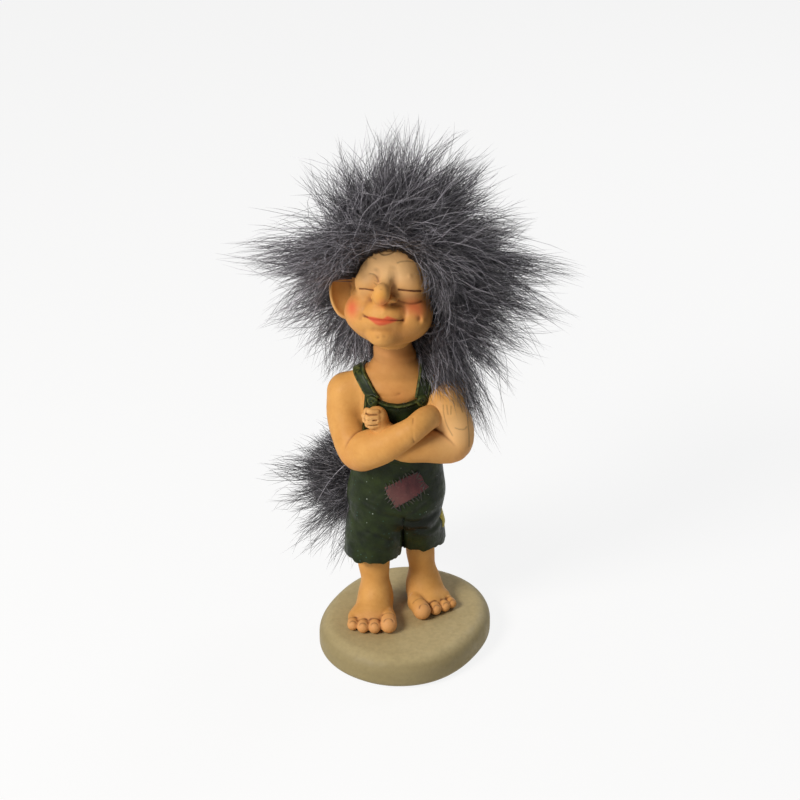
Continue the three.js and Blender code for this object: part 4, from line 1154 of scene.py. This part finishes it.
def face_relief():
    """What is pressed into the face, in millimetres: above 0 is a hollow and below 0 a swelling."""
    drawing = Drawing(half=18)
    drawing.lines([
        (RIGHT_EYE, 0.24, 0.35), (LEFT_EYE, 0.26, 0.45), (LEFT_CHEEK_LINE, 0.4, 0.2), (RIGHT_LID, 0.35, 0.14),
        (MOUTH, 0.26, 0.4), (RIGHT_SMILE, 0.9, 0.3), (LEFT_SMILE, 1.0, 0.42),
        ([(-5.0, -11.1), (-3, -11.5), (-0.4, -11.0)], 1.0, 0.2),
        ([(0.4, 5.4), (0.4, 3.0), (0.1, 0.8)], 1.5, 0.25), ([(-4.3, 5.0), (-4.1, 3.4)], 1.0, 0.25),
        (LEFT_BROW, 0.25, 0.08),
    ])
    drawing.dabs([
        ((4.3, 2.4), (3.4, 2.6), -0.55), ((-7.0, 2.2), (2.4, 2.2), -0.4),
        ((4.2, -2.0), (3.0, 1.1), -0.3), ((-7.4, -1.4), (2.0, 0.9), -0.2),
        ((-3.0, -9.3), (2.6, 0.75), -0.4), ((-4.4, -7.8), (1.5, 0.45), -0.2),
        ((-0.5, -7.9), (1.9, 0.45), -0.2), ((-7.6, -7.3), (0.7, 0.7), 0.3), ((3.1, -8.4), (0.7, 0.8), 0.3),
        ((-3.85, -13.3), (0.7, 0.6), 0.22), ((-2.13, -13.07), (0.7, 0.6), 0.18),
        ((-3.0, -13.2), (2.2, 1.8), -0.3), ((7.3, -8.1), (0.7, 1.0), 0.35), ((8.5, -8.8), (0.7, 0.9), -0.35),
        ((4.88, 3.52), (0.6, 0.6), -0.22), ((-2.3, -6.0), (0.7, 1.0), -0.2),
    ])
    return drawing


def head_form(q):
    """Cranium, round cheeks and jaw, nose and chin, from the head's joint."""
    skull = ellipsoid(q, (0.4, 2.4, 4.0), (10.4, 13, 13.5))
    form = swell(skull, q, (0, -1.6, -6.4), (12.0, 10.2, 8.8), 3.0)
    for side in (-1, 1):
        form = swell(form, q, (side * 6.2, -5.6, -6.3), (5.3, 4.9, 4.9), 1.8)
        form = swell(form, q, (side * 5.6, -7.0, 2.2), (3.6, 2.9, 3.2), 2.8)
        form = swell(form, q, (side * 2.3 - 0.5, -11.0, -1.3), (1.4, 1.6, 1.1), 0.9)
    form = swell(form, q, (-0.5, -9.8, -6.4), (4.8, 3.2, 4.0), 2.2)
    form = swell(form, q, (-0.3, -8.2, -11.9), (4.0, 3.6, 2.8), 2.0)
    bridge = limb(q, [(0, -9.4, 5.4, 1.3), (-0.2, -11.6, 3.0, 1.6), (-0.6, -13.4, 1.4, 1.9)])
    form = join(form, bridge, 1.6)
    return swell(form, q, (-0.9, -14.6, 0.5), (2.35, 2.5, 2.9), 0.7)


# The paint of the face: fine lines (path, width, amount), and dabs (centre, radii, amount) for each mask
FACE_LINES = [
    (RIGHT_EYE, 0.15, 0.8), (LEFT_EYE, 0.17, 0.95), (LEFT_EYE[2:], 0.26, 0.4), (RIGHT_LID, 0.16, 0.25),
    ([(-4.9, 1.6), (-4.2, 1.1)], 0.16, 0.35), ([(-4.7, 2.3), (-4.0, 1.9)], 0.15, 0.3),
    (LEFT_CHEEK_LINE[1:], 0.16, 0.2), (RIGHT_BROW, 0.2, 0.35), (LEFT_BROW, 0.18, 0.4),
    (MOUTH, 0.14, 0.3), (MOUTH[3:], 0.2, 0.4),
    ([(-7.9, -7.0), (-7.3, -7.5), (-6.7, -7.7)], 0.25, 0.4),
    *[(curl, 0.2, 0.85) for curl in FOREHEAD_CURLS],
]
FACE_DABS = {
    "ink": [
        ((-3.03, -0.16), (0.4, 0.22), 0.3), ((-3.85, -13.3), (0.5, 0.4), 0.18),
        ((-2.13, -13.07), (0.5, 0.4), 0.12), ((-0.4, -4.2), (0.7, 0.35), 0.3),
        ((-5.6, -2.9), (0.4, 0.5), 0.25), ((7.4, -8.0), (0.45, 0.7), 0.3),
    ],
    "shade": [
        ((4.3, 2.0), (4.2, 3.6), 0.6), ((-7.2, 2.2), (3.0, 3.2), 0.5), ((0.4, 2.4), (1.4, 3.4), 0.3),
        ((4.0, -2.0), (3.6, 1.4), 0.45), ((-7.6, -1.4), (2.2, 1.2), 0.4), ((-3.8, 3.6), (1.2, 2.0), 0.4),
    ],
    "blush": [
        ((-11.0, -5.2), (1.7, 2.7), 0.9), ((6.1, -4.9), (3.2, 2.2), 0.75), ((-2.6, -3.9), (1.3, 1.2), 0.5),
        ((3.4, 9.0), (2.5, 1.2), 0.2), ((7.6, -7.0), (1.4, 1.6), 0.3),
    ],
    "warm": [((-3.41, -1.3), (2.4, 2.9), 1.0)],
    # Painted light on the forehead
    "pale": [((-1.6, 6.5), (8.5, 5), 1.5)],
    # Painted shade on the lower side of the chin and jaw
    "brown_shade": [((3, -12.5), (6.5, 4.5), 0.8)],
}


def face_marks(p):
    u, v = face_view(p)
    front = np.clip(-HEAD.local(p)[1] / 2 - 1, 0, 1)
    drawings = {mask: Drawing(half=18) for mask in FACE_DABS}
    drawings["ink"].lines(FACE_LINES)
    for mask, dabs in FACE_DABS.items():
        drawings[mask].dabs(dabs)
    marks = {mask: front * drawing.at(u, v) for mask, drawing in drawings.items()}
    marks["lips"] = front * (0.85 * np.clip(0.5 - outline(u, v, LIPS) / 0.5, 0, 1))
    return marks


def make_head(material):
    clay = Clay((-21, -19, 96), (14, 18, 133), step=0.22)
    q = HEAD.local(clay.points)
    head = head_form(q)
    slices, p = clay.window([(-19, -18, 98), (12, -1, 128)], margin=0)
    front = np.clip(-q[1][slices] / 2 - 1, 0, 1)
    head[slices] += front * face_relief().at(*face_view(p))
    neck = limb(UPPER.local(clay.points), neck_stations())
    cast("head_skin", clay, fillet(head, neck, 2.2), material, "painted_skin", ["head"], face_marks)


def make_ear(name, node, joint, side, material):
    """A cupped ear with a rounded rim, facing forward."""
    reach = 10
    clay = Clay(joint.place - reach, joint.place + reach, step=0.2)
    q = joint.local(clay.points)

    def cup(q):
        return ellipsoid(q, (-0.3 * side, -1.5, 0.2), (4.3, 2.7, 7.4))

    field = meet(ellipsoid(q, (0, 0.3, 0), (4.4, 2.1, 7.7)), -cup(q), 0.7)
    field = swell(field, q, (-2.8 * side, -0.6, -0.6), (1.5, 1.2, 2.2), 0.8)
    field = swell(field, q, (-3.6 * side, -0.2, 4.0), (2.2, 1.6, 3.6), 1.0)
    field = fillet(field, head_form(HEAD.local(clay.points)), 1.0)

    def marks(p):
        q = joint.local(p)
        depth = cup(q)
        inside = np.clip(0.6 - depth, 0, 1)
        rim = np.clip(1 - np.abs(depth - 0.9) / 0.8, 0, 1)
        # Painted shade inside the cup and a painted highlight on its rim
        return {"shade": 0.3 * inside, "pale": 0.7 * rim, "blush": 0.5 * spot(q, (0, 0, 6.5), 2.5)}

    cast(name, clay, field, material, "painted_skin", [node], marks)


# Wig and tail

POLE = (0, 0.751, 0.66)  # of the wig, in the head's frame: square to the cut from the hairline to the nape
SCALP = ((0, 2.4, 4.0), (11.7, 13.1, 13.7))


def above_hairline(q):
    """How far points of the head's frame are above the slanting edge of the wig."""
    return (q[2] - 0.98 + 1.139 * q[1]) * 0.66


def make_wig_cap(material):
    clay = Clay((-22, -16, 96), (16, 20, 134), step=0.4)
    q = HEAD.local(clay.points)
    shell = np.abs(ellipsoid(q, *SCALP) - 0.1) - 0.45
    bare = 3.4 * np.clip((-q[0] - 5) / 3, 0, 1) * np.clip((6 - q[1]) / 3, 0, 1)
    field = meet(shell, 1.2 + bare - above_hairline(q), 0.4)
    cast("wig_cap", clay, field, material, "fur_backing", ["wig_backing"])


def tail_axis():
    way = heading(TAIL["bearing"], TAIL["rise"])
    return np.array(TAIL["place"]), way


def make_tail_backing(material):
    place, way = tail_axis()
    ends = [place + way * (TAIL["outside"] + end * TAIL_BACKING["length"] / 2) for end in (-1, 1)]
    reach = TAIL_BACKING["radius"] + 1
    clay = Clay(np.minimum(*ends) - reach, np.maximum(*ends) + reach, step=0.3)
    field = capsule(clay.points, *[(*end, TAIL_BACKING["radius"]) for end in ends])
    field = np.maximum(field, 0.3 - shorts_form(LOWER.local(clay.points)))
    cast("tail_sleeve", clay, field, material, "fur_backing", ["tail_backing"])


STRAND_POINTS = 8  # from root to tip


def scattered(count):
    """Directions spread evenly all round."""
    i = np.arange(count) + 0.5
    polar = np.arccos(1 - 2 * i / count)
    turn = math.pi * (1 + 5**0.5) * i
    return np.stack([np.sin(polar) * np.cos(turn), np.sin(polar) * np.sin(turn), np.cos(polar)], axis=1)


def unit(rows):
    return rows / np.maximum(np.linalg.norm(rows, axis=1, keepdims=True), 1e-9)


def tuft_gain(ways, locks, focus):
    """How far past its radius a tuft goes in some directions, in radii, and the lock that leads there."""
    leads = np.array([heading(bearing, elevation) for bearing, elevation, _ in locks])
    gains = np.array([reach - 1 for _, _, reach in locks])
    near = np.maximum(ways @ leads.T, 0) ** focus * gains
    return near.max(1), leads[near.argmax(1)]


def combed(clumps, weights, tries, strays, scatter, locks, focus, pull, rng):
    """The clump of each strand tried, which ones stray, and the ways that they go, combed to the locks."""
    which = rng.choice(len(clumps), tries, p=weights / weights.sum())
    stray = rng.uniform(size=tries) < strays
    ways = unit(clumps[which] + rng.normal(size=(tries, 3)) * np.where(stray, *scatter)[:, None])
    gain, leads = tuft_gain(ways, locks, focus)
    return which, stray, unit(ways + leads * (pull * gain)[:, None])


def bend(roots, normals, tips, frizz, rng):
    """Paths of strands from root to tip, rising along the root's normal and waving a little."""
    share = np.linspace(0, 1, STRAND_POINTS)[None, :, None]
    length = np.linalg.norm(tips - roots, axis=1)[:, None, None]
    knee = roots[:, None] + normals[:, None] * length * 0.5
    path = (1 - share) ** 2 * roots[:, None] + 2 * share * (1 - share) * knee + share**2 * tips[:, None]
    for turns in (0.7, 1.6):
        way = rng.normal(size=(len(roots), 1, 3)) * frizz / turns
        path += way * share * np.sin(2 * math.pi * (turns * share + rng.uniform(0, 1, (len(roots), 1, 1))))
    return path


def clear_of(paths, distance, gap):
    """Moves the points of strands that are inside a body out to its surface, root rings aside."""
    flat = paths[:, 1:].reshape(-1, 3)
    inside = np.nonzero(distance(flat.T) < gap)[0]
    if len(inside):
        flat[inside] = onto(flat[inside], distance, gap, rounds=3)
    paths[:, 1:] = flat.reshape(len(paths), -1, 3)
    return paths


def strand_mesh(name, node, paths, radius, tones, material):
    """Strands as thin three-sided tubes that end in a point, with tone and height as their map."""
    count, rings, sides = len(paths), paths.shape[1] - 1, 3
    along = unit(np.gradient(paths, axis=1).reshape(-1, 3)).reshape(paths.shape)
    one = unit(np.cross(along.reshape(-1, 3), (0.31, 0.52, 0.79))).reshape(paths.shape)
    two = np.cross(along, one)
    taper = radius[:, None] * np.linspace(1, 0.6, rings)[None]
    angles = 2 * math.pi * np.arange(sides) / sides
    ring = np.cos(angles)[:, None] * one[:, :rings, None] + np.sin(angles)[:, None] * two[:, :rings, None]
    rounds = paths[:, :rings, None] + ring * taper[:, :, None, None]
    places = np.concatenate([rounds.reshape(count, -1, 3), paths[:, -1:]], axis=1)
    faces = []
    for level in range(rings - 1):
        for i in range(sides):
            a, b = level * sides + i, level * sides + (i + 1) % sides
            faces += [(a, b, b + sides), (a, b + sides, a + sides)]
    for i in range(sides):
        faces.append(((rings - 1) * sides + i, (rings - 1) * sides + (i + 1) % sides, rings * sides))
    faces = np.array(faces)
    heights = np.minimum(faces // sides, rings) / rings
    sideways = np.where(faces == rings * sides, 0, faces % sides - 1) * 0.004
    block = faces[None] + (np.arange(count) * (rings * sides + 1))[:, None, None]
    thing = piece(name, places.reshape(-1, 3), block.reshape(-1, 3), material, "fur", [node])
    uv = np.empty((count, len(faces), 3, 2), np.float32)
    uv[..., 0] = np.clip(tones, 0.01, 0.99)[:, None, None] + sideways[None]
    uv[..., 1] = heights[None]
    thing.data.uv_layers.new(name="OFBake").data.foreach_set("uv", uv.ravel())


def strand_meshes(name, node, parts, paths, radius, tones, material, rng):
    """Strands shared out at random among some pieces."""
    for index, group in enumerate(np.array_split(rng.permutation(len(paths)), parts)):
        strand_mesh(f"{name}_{index}", node, paths[group], radius[group], tones[group], material)


# Clumps of strands, strands tried, strands left, and the pieces that they are shared out among
HAIR_CLUMPS = 900
HAIR_TRIES = 80000
HAIR_STRANDS = 25500
HAIR_PARTS = 6
FRINGE_TRIES = 60000
TAIL_CLUMPS = 260
TAIL_TRIES = 24000
TAIL_STRANDS = 15000
TAIL_PARTS = 3
TAIL_LOWEST = 9.9  # clear of the plinth's top

# Where the hair is sparse: bearing, elevation and width in degrees, and the share of strands left there
THIN_HAIR = [
    (-88, 32, 19, 0.05), (0, 18, 42, 0.2), (40, -32, 30, 0.35), (86, 44, 20, 0.14),
    (-100, -42, 20, 0.8), (86, -36, 18, 0.7),
]

# The opening of the hair round the face and the right ear, as the camera sees it
FACE_OPENING = [
    (-17, 1.5), (-9.4, 4.0), (-8.4, 6.8), (-6.6, 9.2), (-4, 10.7), (-1, 11.2), (2.3, 10.8), (4.6, 10),
    (6.2, 7.2), (6.5, 3), (7.7, -0.85), (8.9, -4.1), (9.6, -7.2), (10, -11), (9.5, -15), (10.8, -19),
    (10.8, -32), (-18, -32), (-18, -6),
]


def on_scalp(aims):
    """The wig's points in some directions from its middle, in the head's frame."""
    centre, radii = [np.array(row) for row in SCALP]
    return centre + aims / np.linalg.norm(aims / radii, axis=1, keepdims=True)


def scalp_normals(points):
    centre, radii = [np.array(row) for row in SCALP]
    return unit((points - centre) / radii**2)


def hair_roots(ways, rng):
    """Roots on the wig for strands that go some ways, as near to each way as the wig's edge allows."""
    local = ways @ HEAD.axes
    low = np.clip(-local[:, 2:] / 0.4 - 0.25, 0, 1)
    pole = (1 - low) * np.array(POLE) + low * np.array([0, 0.98, 0.1])
    pull = 0.12 + rng.uniform(0, 0.25, len(ways))
    for _ in range(40):
        point = on_scalp(unit(local + pull[:, None] * pole))
        side = np.clip(point[:, 0] - 6, 0, 6) * 0.5
        bare = above_hairline(point.T) + side < 0.3
        pull[bare] += rng.uniform(0.05, 0.3, bare.sum())
    return HEAD.world(point), scalp_normals(point) @ HEAD.axes.T


def body_distance(p):
    """The nearest of the head, the torso and the arms."""
    q = UPPER.local(p)
    nearest = np.minimum(head_form(HEAD.local(p)), torso_form(q) - 1.2)
    return np.minimum(nearest, np.minimum(limb(q, RIGHT_ARM, ARM_STEPS), limb(q, LEFT_ARM, ARM_STEPS)))


def kept(ways, rng):
    """Which strands are left where the hair is sparse."""
    share = np.ones(len(ways))
    for bearing, elevation, width, left in THIN_HAIR:
        angle = np.degrees(np.arccos(np.clip(ways @ heading(bearing, elevation), -1, 1)))
        share *= 1 - (1 - left) * bell(angle, width)
    return rng.uniform(size=len(ways)) < share


def over_face(paths, slack):
    """Which strands cross the opening of the hair, root rings aside."""
    p = np.moveaxis(paths[:, 1:], 2, 0)
    u, v = face_view(p)
    by_ear = u < -9
    near = HEAD.local(p)[1] < np.where(by_ear, 5.5, 2.5)
    return ((outline(u, v, FACE_OPENING) < -slack) & near).any(1)


def make_fringe(rng):
    """Short strands that hide the wig's edge, and longer ones that stand beside the face and fall past it."""

    def head(p):
        return head_form(HEAD.local(p))

    point = on_scalp(unit(rng.normal(size=(FRINGE_TRIES, 3))))
    height = above_hairline(point.T)
    edge = (height > -0.2) & (height < 1.8) & (point[:, 1] < 9)
    beside = (height > -0.2) & (height < 9) & (np.abs(point[:, 0]) > 6) & (point[:, 1] < 5)
    falling = (height > -0.2) & (height < 5) & (point[:, 0] > 4.5) & (point[:, 1] < 3)
    fringe = []
    for chosen, most, reach, lean in (
        (edge, 2300, (3, 9), (0, 0, 0)),
        (beside, 1300, (6, 15), (0, 0, 0)),
        (falling, 1600, (8, 19), (0.45, -0.3, -1.1)),
    ):
        root = point[chosen][:4 * most]
        normals = scalp_normals(root)
        out = np.clip((np.abs(root[:, :1]) - 5) / 3, 0, 1)
        ways = (0.45 + 0.55 * out) * normals + 0.8 * (1 - 0.8 * out) * np.array(POLE)
        ways = unit(ways + lean + rng.normal(size=root.shape) * (0.45 + 0.1 * out))
        length = rng.uniform(*reach, len(root))[:, None]
        roots = onto(HEAD.world(root), head, lift=0)
        rise = normals @ HEAD.axes.T
        paths = bend(roots, rise, roots + (ways @ HEAD.axes.T) * length, frizz=0.4, rng=rng)
        paths = clear_of(paths, head, gap=0.15)
        fringe.append(paths[~over_face(paths, slack=0.5)][:most])
    return fringe


def make_hair(material):
    rng = np.random.default_rng(seed=4)
    clumps = scattered(HAIR_CLUMPS)
    low = np.clip(-clumps[:, 2], 0, 1)
    tuft = np.exp(20 * (clumps @ heading(-90, 6) - 1))
    weights = 1 + 1.6 * low + 1.2 * low * (clumps[:, 0] < 0) + 1.3 * tuft
    which, stray, ways = combed(clumps, weights, HAIR_TRIES, strays=0.45, scatter=(0.36, 0.15),
                                locks=HAIR_LOCKS, focus=COMBED_FOCUS, pull=0.75, rng=rng)
    left = kept(ways, rng)
    which, stray, ways = which[left], stray[left], ways[left]
    count = len(ways)
    reach = 1 + tuft_gain(ways, HAIR_LOCKS, LOCK_FOCUS)[0]
    length = HAIR_RADIUS * np.maximum(reach, 1.4) * rng.uniform(0.88, 1.04, len(clumps))[which]
    length *= 0.54 + 0.54 * rng.uniform(size=count)
    jitter = np.where(stray, 0.34, 0.18)[:, None]
    roots, normals = hair_roots(unit(ways + rng.normal(size=(count, 3)) * jitter), rng)
    tips = HAIR_CENTRE + ways * length[:, None]
    tips[:, 2] -= 0.0008 * length**2
    ahead = np.clip(2 - (roots - HEAD.place) @ HEAD.axes[:, 1], 0, 8) / 8
    tips += rng.uniform(-1, 1, tips.shape) * (7 * ahead)[:, None]
    rise = unit(0.7 * normals + ways)
    frizz = np.where(stray, 0.7, 0.4)[:, None, None]
    paths = clear_of(bend(roots, rise, tips, frizz, rng), body_distance, gap=0.3)
    height = face_view(np.moveaxis(paths, 2, 0))[1]
    hanging = (ahead > 0.12) & (height[:, 0] - height[:, -1] > 8)
    paths = paths[~(hanging | over_face(paths, slack=0))][:HAIR_STRANDS]
    edge, *beside = make_fringe(rng)
    paths = np.concatenate([paths, *beside, edge])
    # About a quarter of the strands are pale: the fur's own mix of greys, and painted glints too
    bright = rng.uniform(size=len(paths)) < 0.24
    tones = np.where(bright, rng.uniform(0.45, 1, len(paths)), rng.uniform(0, 0.18, len(paths)))
    # Painted light: strands a little paler towards the figure's right, where the key lamp falls
    tones = tones - 0.001 * paths[:, -1, 0]
    # Painted shade: the short strands at the wig's edge darker, as the hairline lies in shade
    tones[-len(edge):] *= 0.4
    radius = rng.uniform(0.065, 0.095, len(paths))
    strand_meshes("hair", "hair", HAIR_PARTS, paths, radius, tones, material, rng)


# A pale strand that stands off the tail
TAIL_LOOSE = [
    (-12, 17, 50), (-14.5, 12, 53.8), (-17.6, 9, 54), (-21, 8, 50.8), (-24.4, 7.5, 45.8), (-27.7, 8, 37.4),
]


def make_tail_fur(material):
    rng = np.random.default_rng(seed=9)
    place, axis = tail_axis()
    centre = place + axis * (TAIL["outside"] + TAIL_BACKING["length"] / 2)
    clumps = scattered(TAIL_CLUMPS)
    weights = 0.25 + 1.5 * np.exp(2.2 * (clumps @ heading(-88, -38) - 1))
    _, stray, ways = combed(clumps, weights, TAIL_TRIES, strays=0.55, scatter=(0.45, 0.2),
                            locks=TAIL_LOCKS, focus=TAIL_COMBED_FOCUS, pull=0.25, rng=rng)
    reach = 1 + tuft_gain(ways, TAIL_LOCKS, TAIL_FOCUS)[0]
    long = rng.uniform(size=TAIL_TRIES) < 0.2
    share = rng.uniform(size=TAIL_TRIES)
    length = TAIL_RADIUS * np.where(long, np.maximum(reach, 1.35) * (0.5 + 0.6 * share), 0.55 + share)
    along = np.clip(ways @ axis * 4, -3, 3.5)[:, None] * axis
    normals = unit(ways - 0.6 * (ways @ axis)[:, None] * axis)
    roots = centre - axis * 3.5 + along + normals * (TAIL_BACKING["radius"] - 0.2)
    tips = centre + ways * length[:, None]
    tips[:, 2] -= 0.002 * length**2
    frizz = np.where(stray, 1.5, 0.9)[:, None, None]
    paths = bend(roots, unit(normals + ways), tips, frizz, rng)
    paths = clear_of(paths, lambda p: shorts_form(LOWER.local(p)), gap=0.4)
    paths = paths[paths[:, :, 2].min(1) > TAIL_LOWEST][:TAIL_STRANDS]
    tones = 0.75 * rng.uniform(size=len(paths)) ** 8
    loose = smooth_path(TAIL_LOOSE, STRAND_POINTS)
    paths = np.concatenate([paths, [loose[np.linspace(0, len(loose) - 1, STRAND_POINTS).astype(int)]]])
    tones = np.append(tones, 0.95)
    radius = rng.uniform(0.07, 0.11, len(paths))
    strand_meshes("tail", "tail_fur", TAIL_PARTS, paths, radius, tones, material, rng)


# The scene

def make_camera():
    ahead = Vector(view_axes()[0])
    data = bpy.data.cameras.new("camera")
    data.sensor_width = 36
    data.lens = CAMERA["focal"] * data.sensor_width / CAMERA["picture"]
    data.clip_start, data.clip_end = 0.01, 20
    camera = bpy.data.objects.new("camera", data)
    camera.location = (Vector(CAMERA["target"]) - ahead * CAMERA["distance"]) * MM
    camera.rotation_euler = ahead.to_track_quat("-Z", "Y").to_euler()
    bpy.context.scene.collection.objects.link(camera)
    bpy.context.scene.camera = camera


def lamp(name, place, size, power, colour):
    data = bpy.data.lights.new(name, "AREA")
    data.shape = "DISK"
    data.size = size
    data.energy = power
    data.color = colour
    light = bpy.data.objects.new(name, data)
    light.location = place
    light.rotation_euler = (Vector((0, 0, 0.08)) - Vector(place)).to_track_quat("-Z", "Y").to_euler()
    bpy.context.scene.collection.objects.link(light)


def make_stage():
    """A pale floor that keeps a soft shadow, white surroundings and soft studio light."""
    mesh = bpy.data.meshes.new("floor")
    far = 6
    mesh.from_pydata([(-far, -far, 0), (far, -far, 0), (far, far, 0), (-far, far, 0)], [], [(0, 1, 2, 3)])
    floor = bpy.data.objects.new("floor", mesh)
    bpy.context.scene.collection.objects.link(floor)
    material = bpy.data.materials.new("floor")
    nodes = Nodes(material)
    surface = nodes.tree.nodes["Principled BSDF"]
    surface.inputs["Base Color"].default_value = (0.9, 0.9, 0.9, 1)
    surface.inputs["Roughness"].default_value = 1
    surface.inputs["Specular IOR Level"].default_value = 0
    glow = nodes.node("ShaderNodeEmission", {"Strength": 1.0})
    share = nodes.math("MULTIPLY", nodes.seen(), 0.86)
    mixed = nodes.node("ShaderNodeMixShader", {0: share, 1: surface.outputs[0], 2: glow})
    nodes.link(mixed, "Material Output", "Surface")
    mesh.materials.append(material)

    world = bpy.data.worlds.new("studio")
    nodes = Nodes(world)
    nodes.tree.nodes["Background"].inputs["Color"].default_value = (1, 1, 1, 1)
    strength = nodes.node("ShaderNodeMapRange", {"Value": nodes.seen(), "To Min": 0.2, "To Max": 1.0})
    nodes.link(strength, "Background", "Strength")
    bpy.context.scene.world = world
    lamp("key", (-0.5, -0.43, 0.56), size=0.3, power=6.0, colour=(1.0, 0.96, 0.9))
    lamp("rim", (0.4, 0.45, 0.5), size=0.3, power=1.0, colour=(0.95, 0.97, 1.0))


make_camera()
make_stage()
bpy.context.scene.view_settings.view_transform = "Standard"

skin = skin_finish()
green = green_finish()
fur = fur_finish()
knit = knit_finish()
red = patch_finish("painted_red", srgb(60, 24, 28), srgb(84, 40, 42), srgb(118, 84, 78))
yellow = patch_finish("painted_yellow", srgb(150, 134, 42), srgb(186, 170, 66), srgb(206, 196, 120))

make_plinth(stone_finish())
make_leg("right_leg_skin", "right_leg", RIGHT_FOOT, inner=1, toes=RIGHT_TOES,
         heel_at=(0, 0.4), ankle=0, calf=(-0.5, 0.45), material=skin)
make_leg("left_leg_skin", "left_leg", LEFT_FOOT, inner=-1, toes=LEFT_TOES,
         heel_at=(-1.8, -0.2), ankle=0.8, calf=(0, 0), material=skin)
make_shorts(green)
red_box = ((-10, -12, 48), (10, 0, 64))
make_patch("red_patch_cloth", RED_PATCH, *red_box, red, "painted_red", "red_patch")
yellow_box = ((5, -4, 36), (15, 12, 47))
make_patch("yellow_patch_cloth", YELLOW_PATCH, *yellow_box, yellow, "painted_yellow", "yellow_patch")
make_stitches(thread_finish())
make_torso(skin)
make_panel("bib_cloth", "bib", forward=True, material=green)
make_panel("back_panel_cloth", "back_panel", forward=False, material=green)
make_strap("right_strap_cloth", "right_strap", side=-1, spread=9.4, cut=28.6, material=green)
make_strap("left_strap_cloth", "left_strap", side=1, spread=2.6, cut=31, material=green)
make_button("right_button_disc", "right_button", side=-1, material=green)
make_button("left_button_disc", "left_button", side=1, material=green)
make_right_arm(skin)
make_left_arm(skin)
make_head(skin)
make_ear("right_ear_skin", "right_ear", RIGHT_EAR, side=-1, material=skin)
make_ear("left_ear_skin", "left_ear", LEFT_EAR, side=1, material=skin)
make_wig_cap(knit)
make_tail_backing(knit)
make_hair(fur)
make_tail_fur(fur)
steel = steel_finish()
for node, better in (("tail_stem", hide_finish()), ("right_ankle_pin", steel), ("left_ankle_pin", steel)):
    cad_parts[node].material_slots[0].material = better
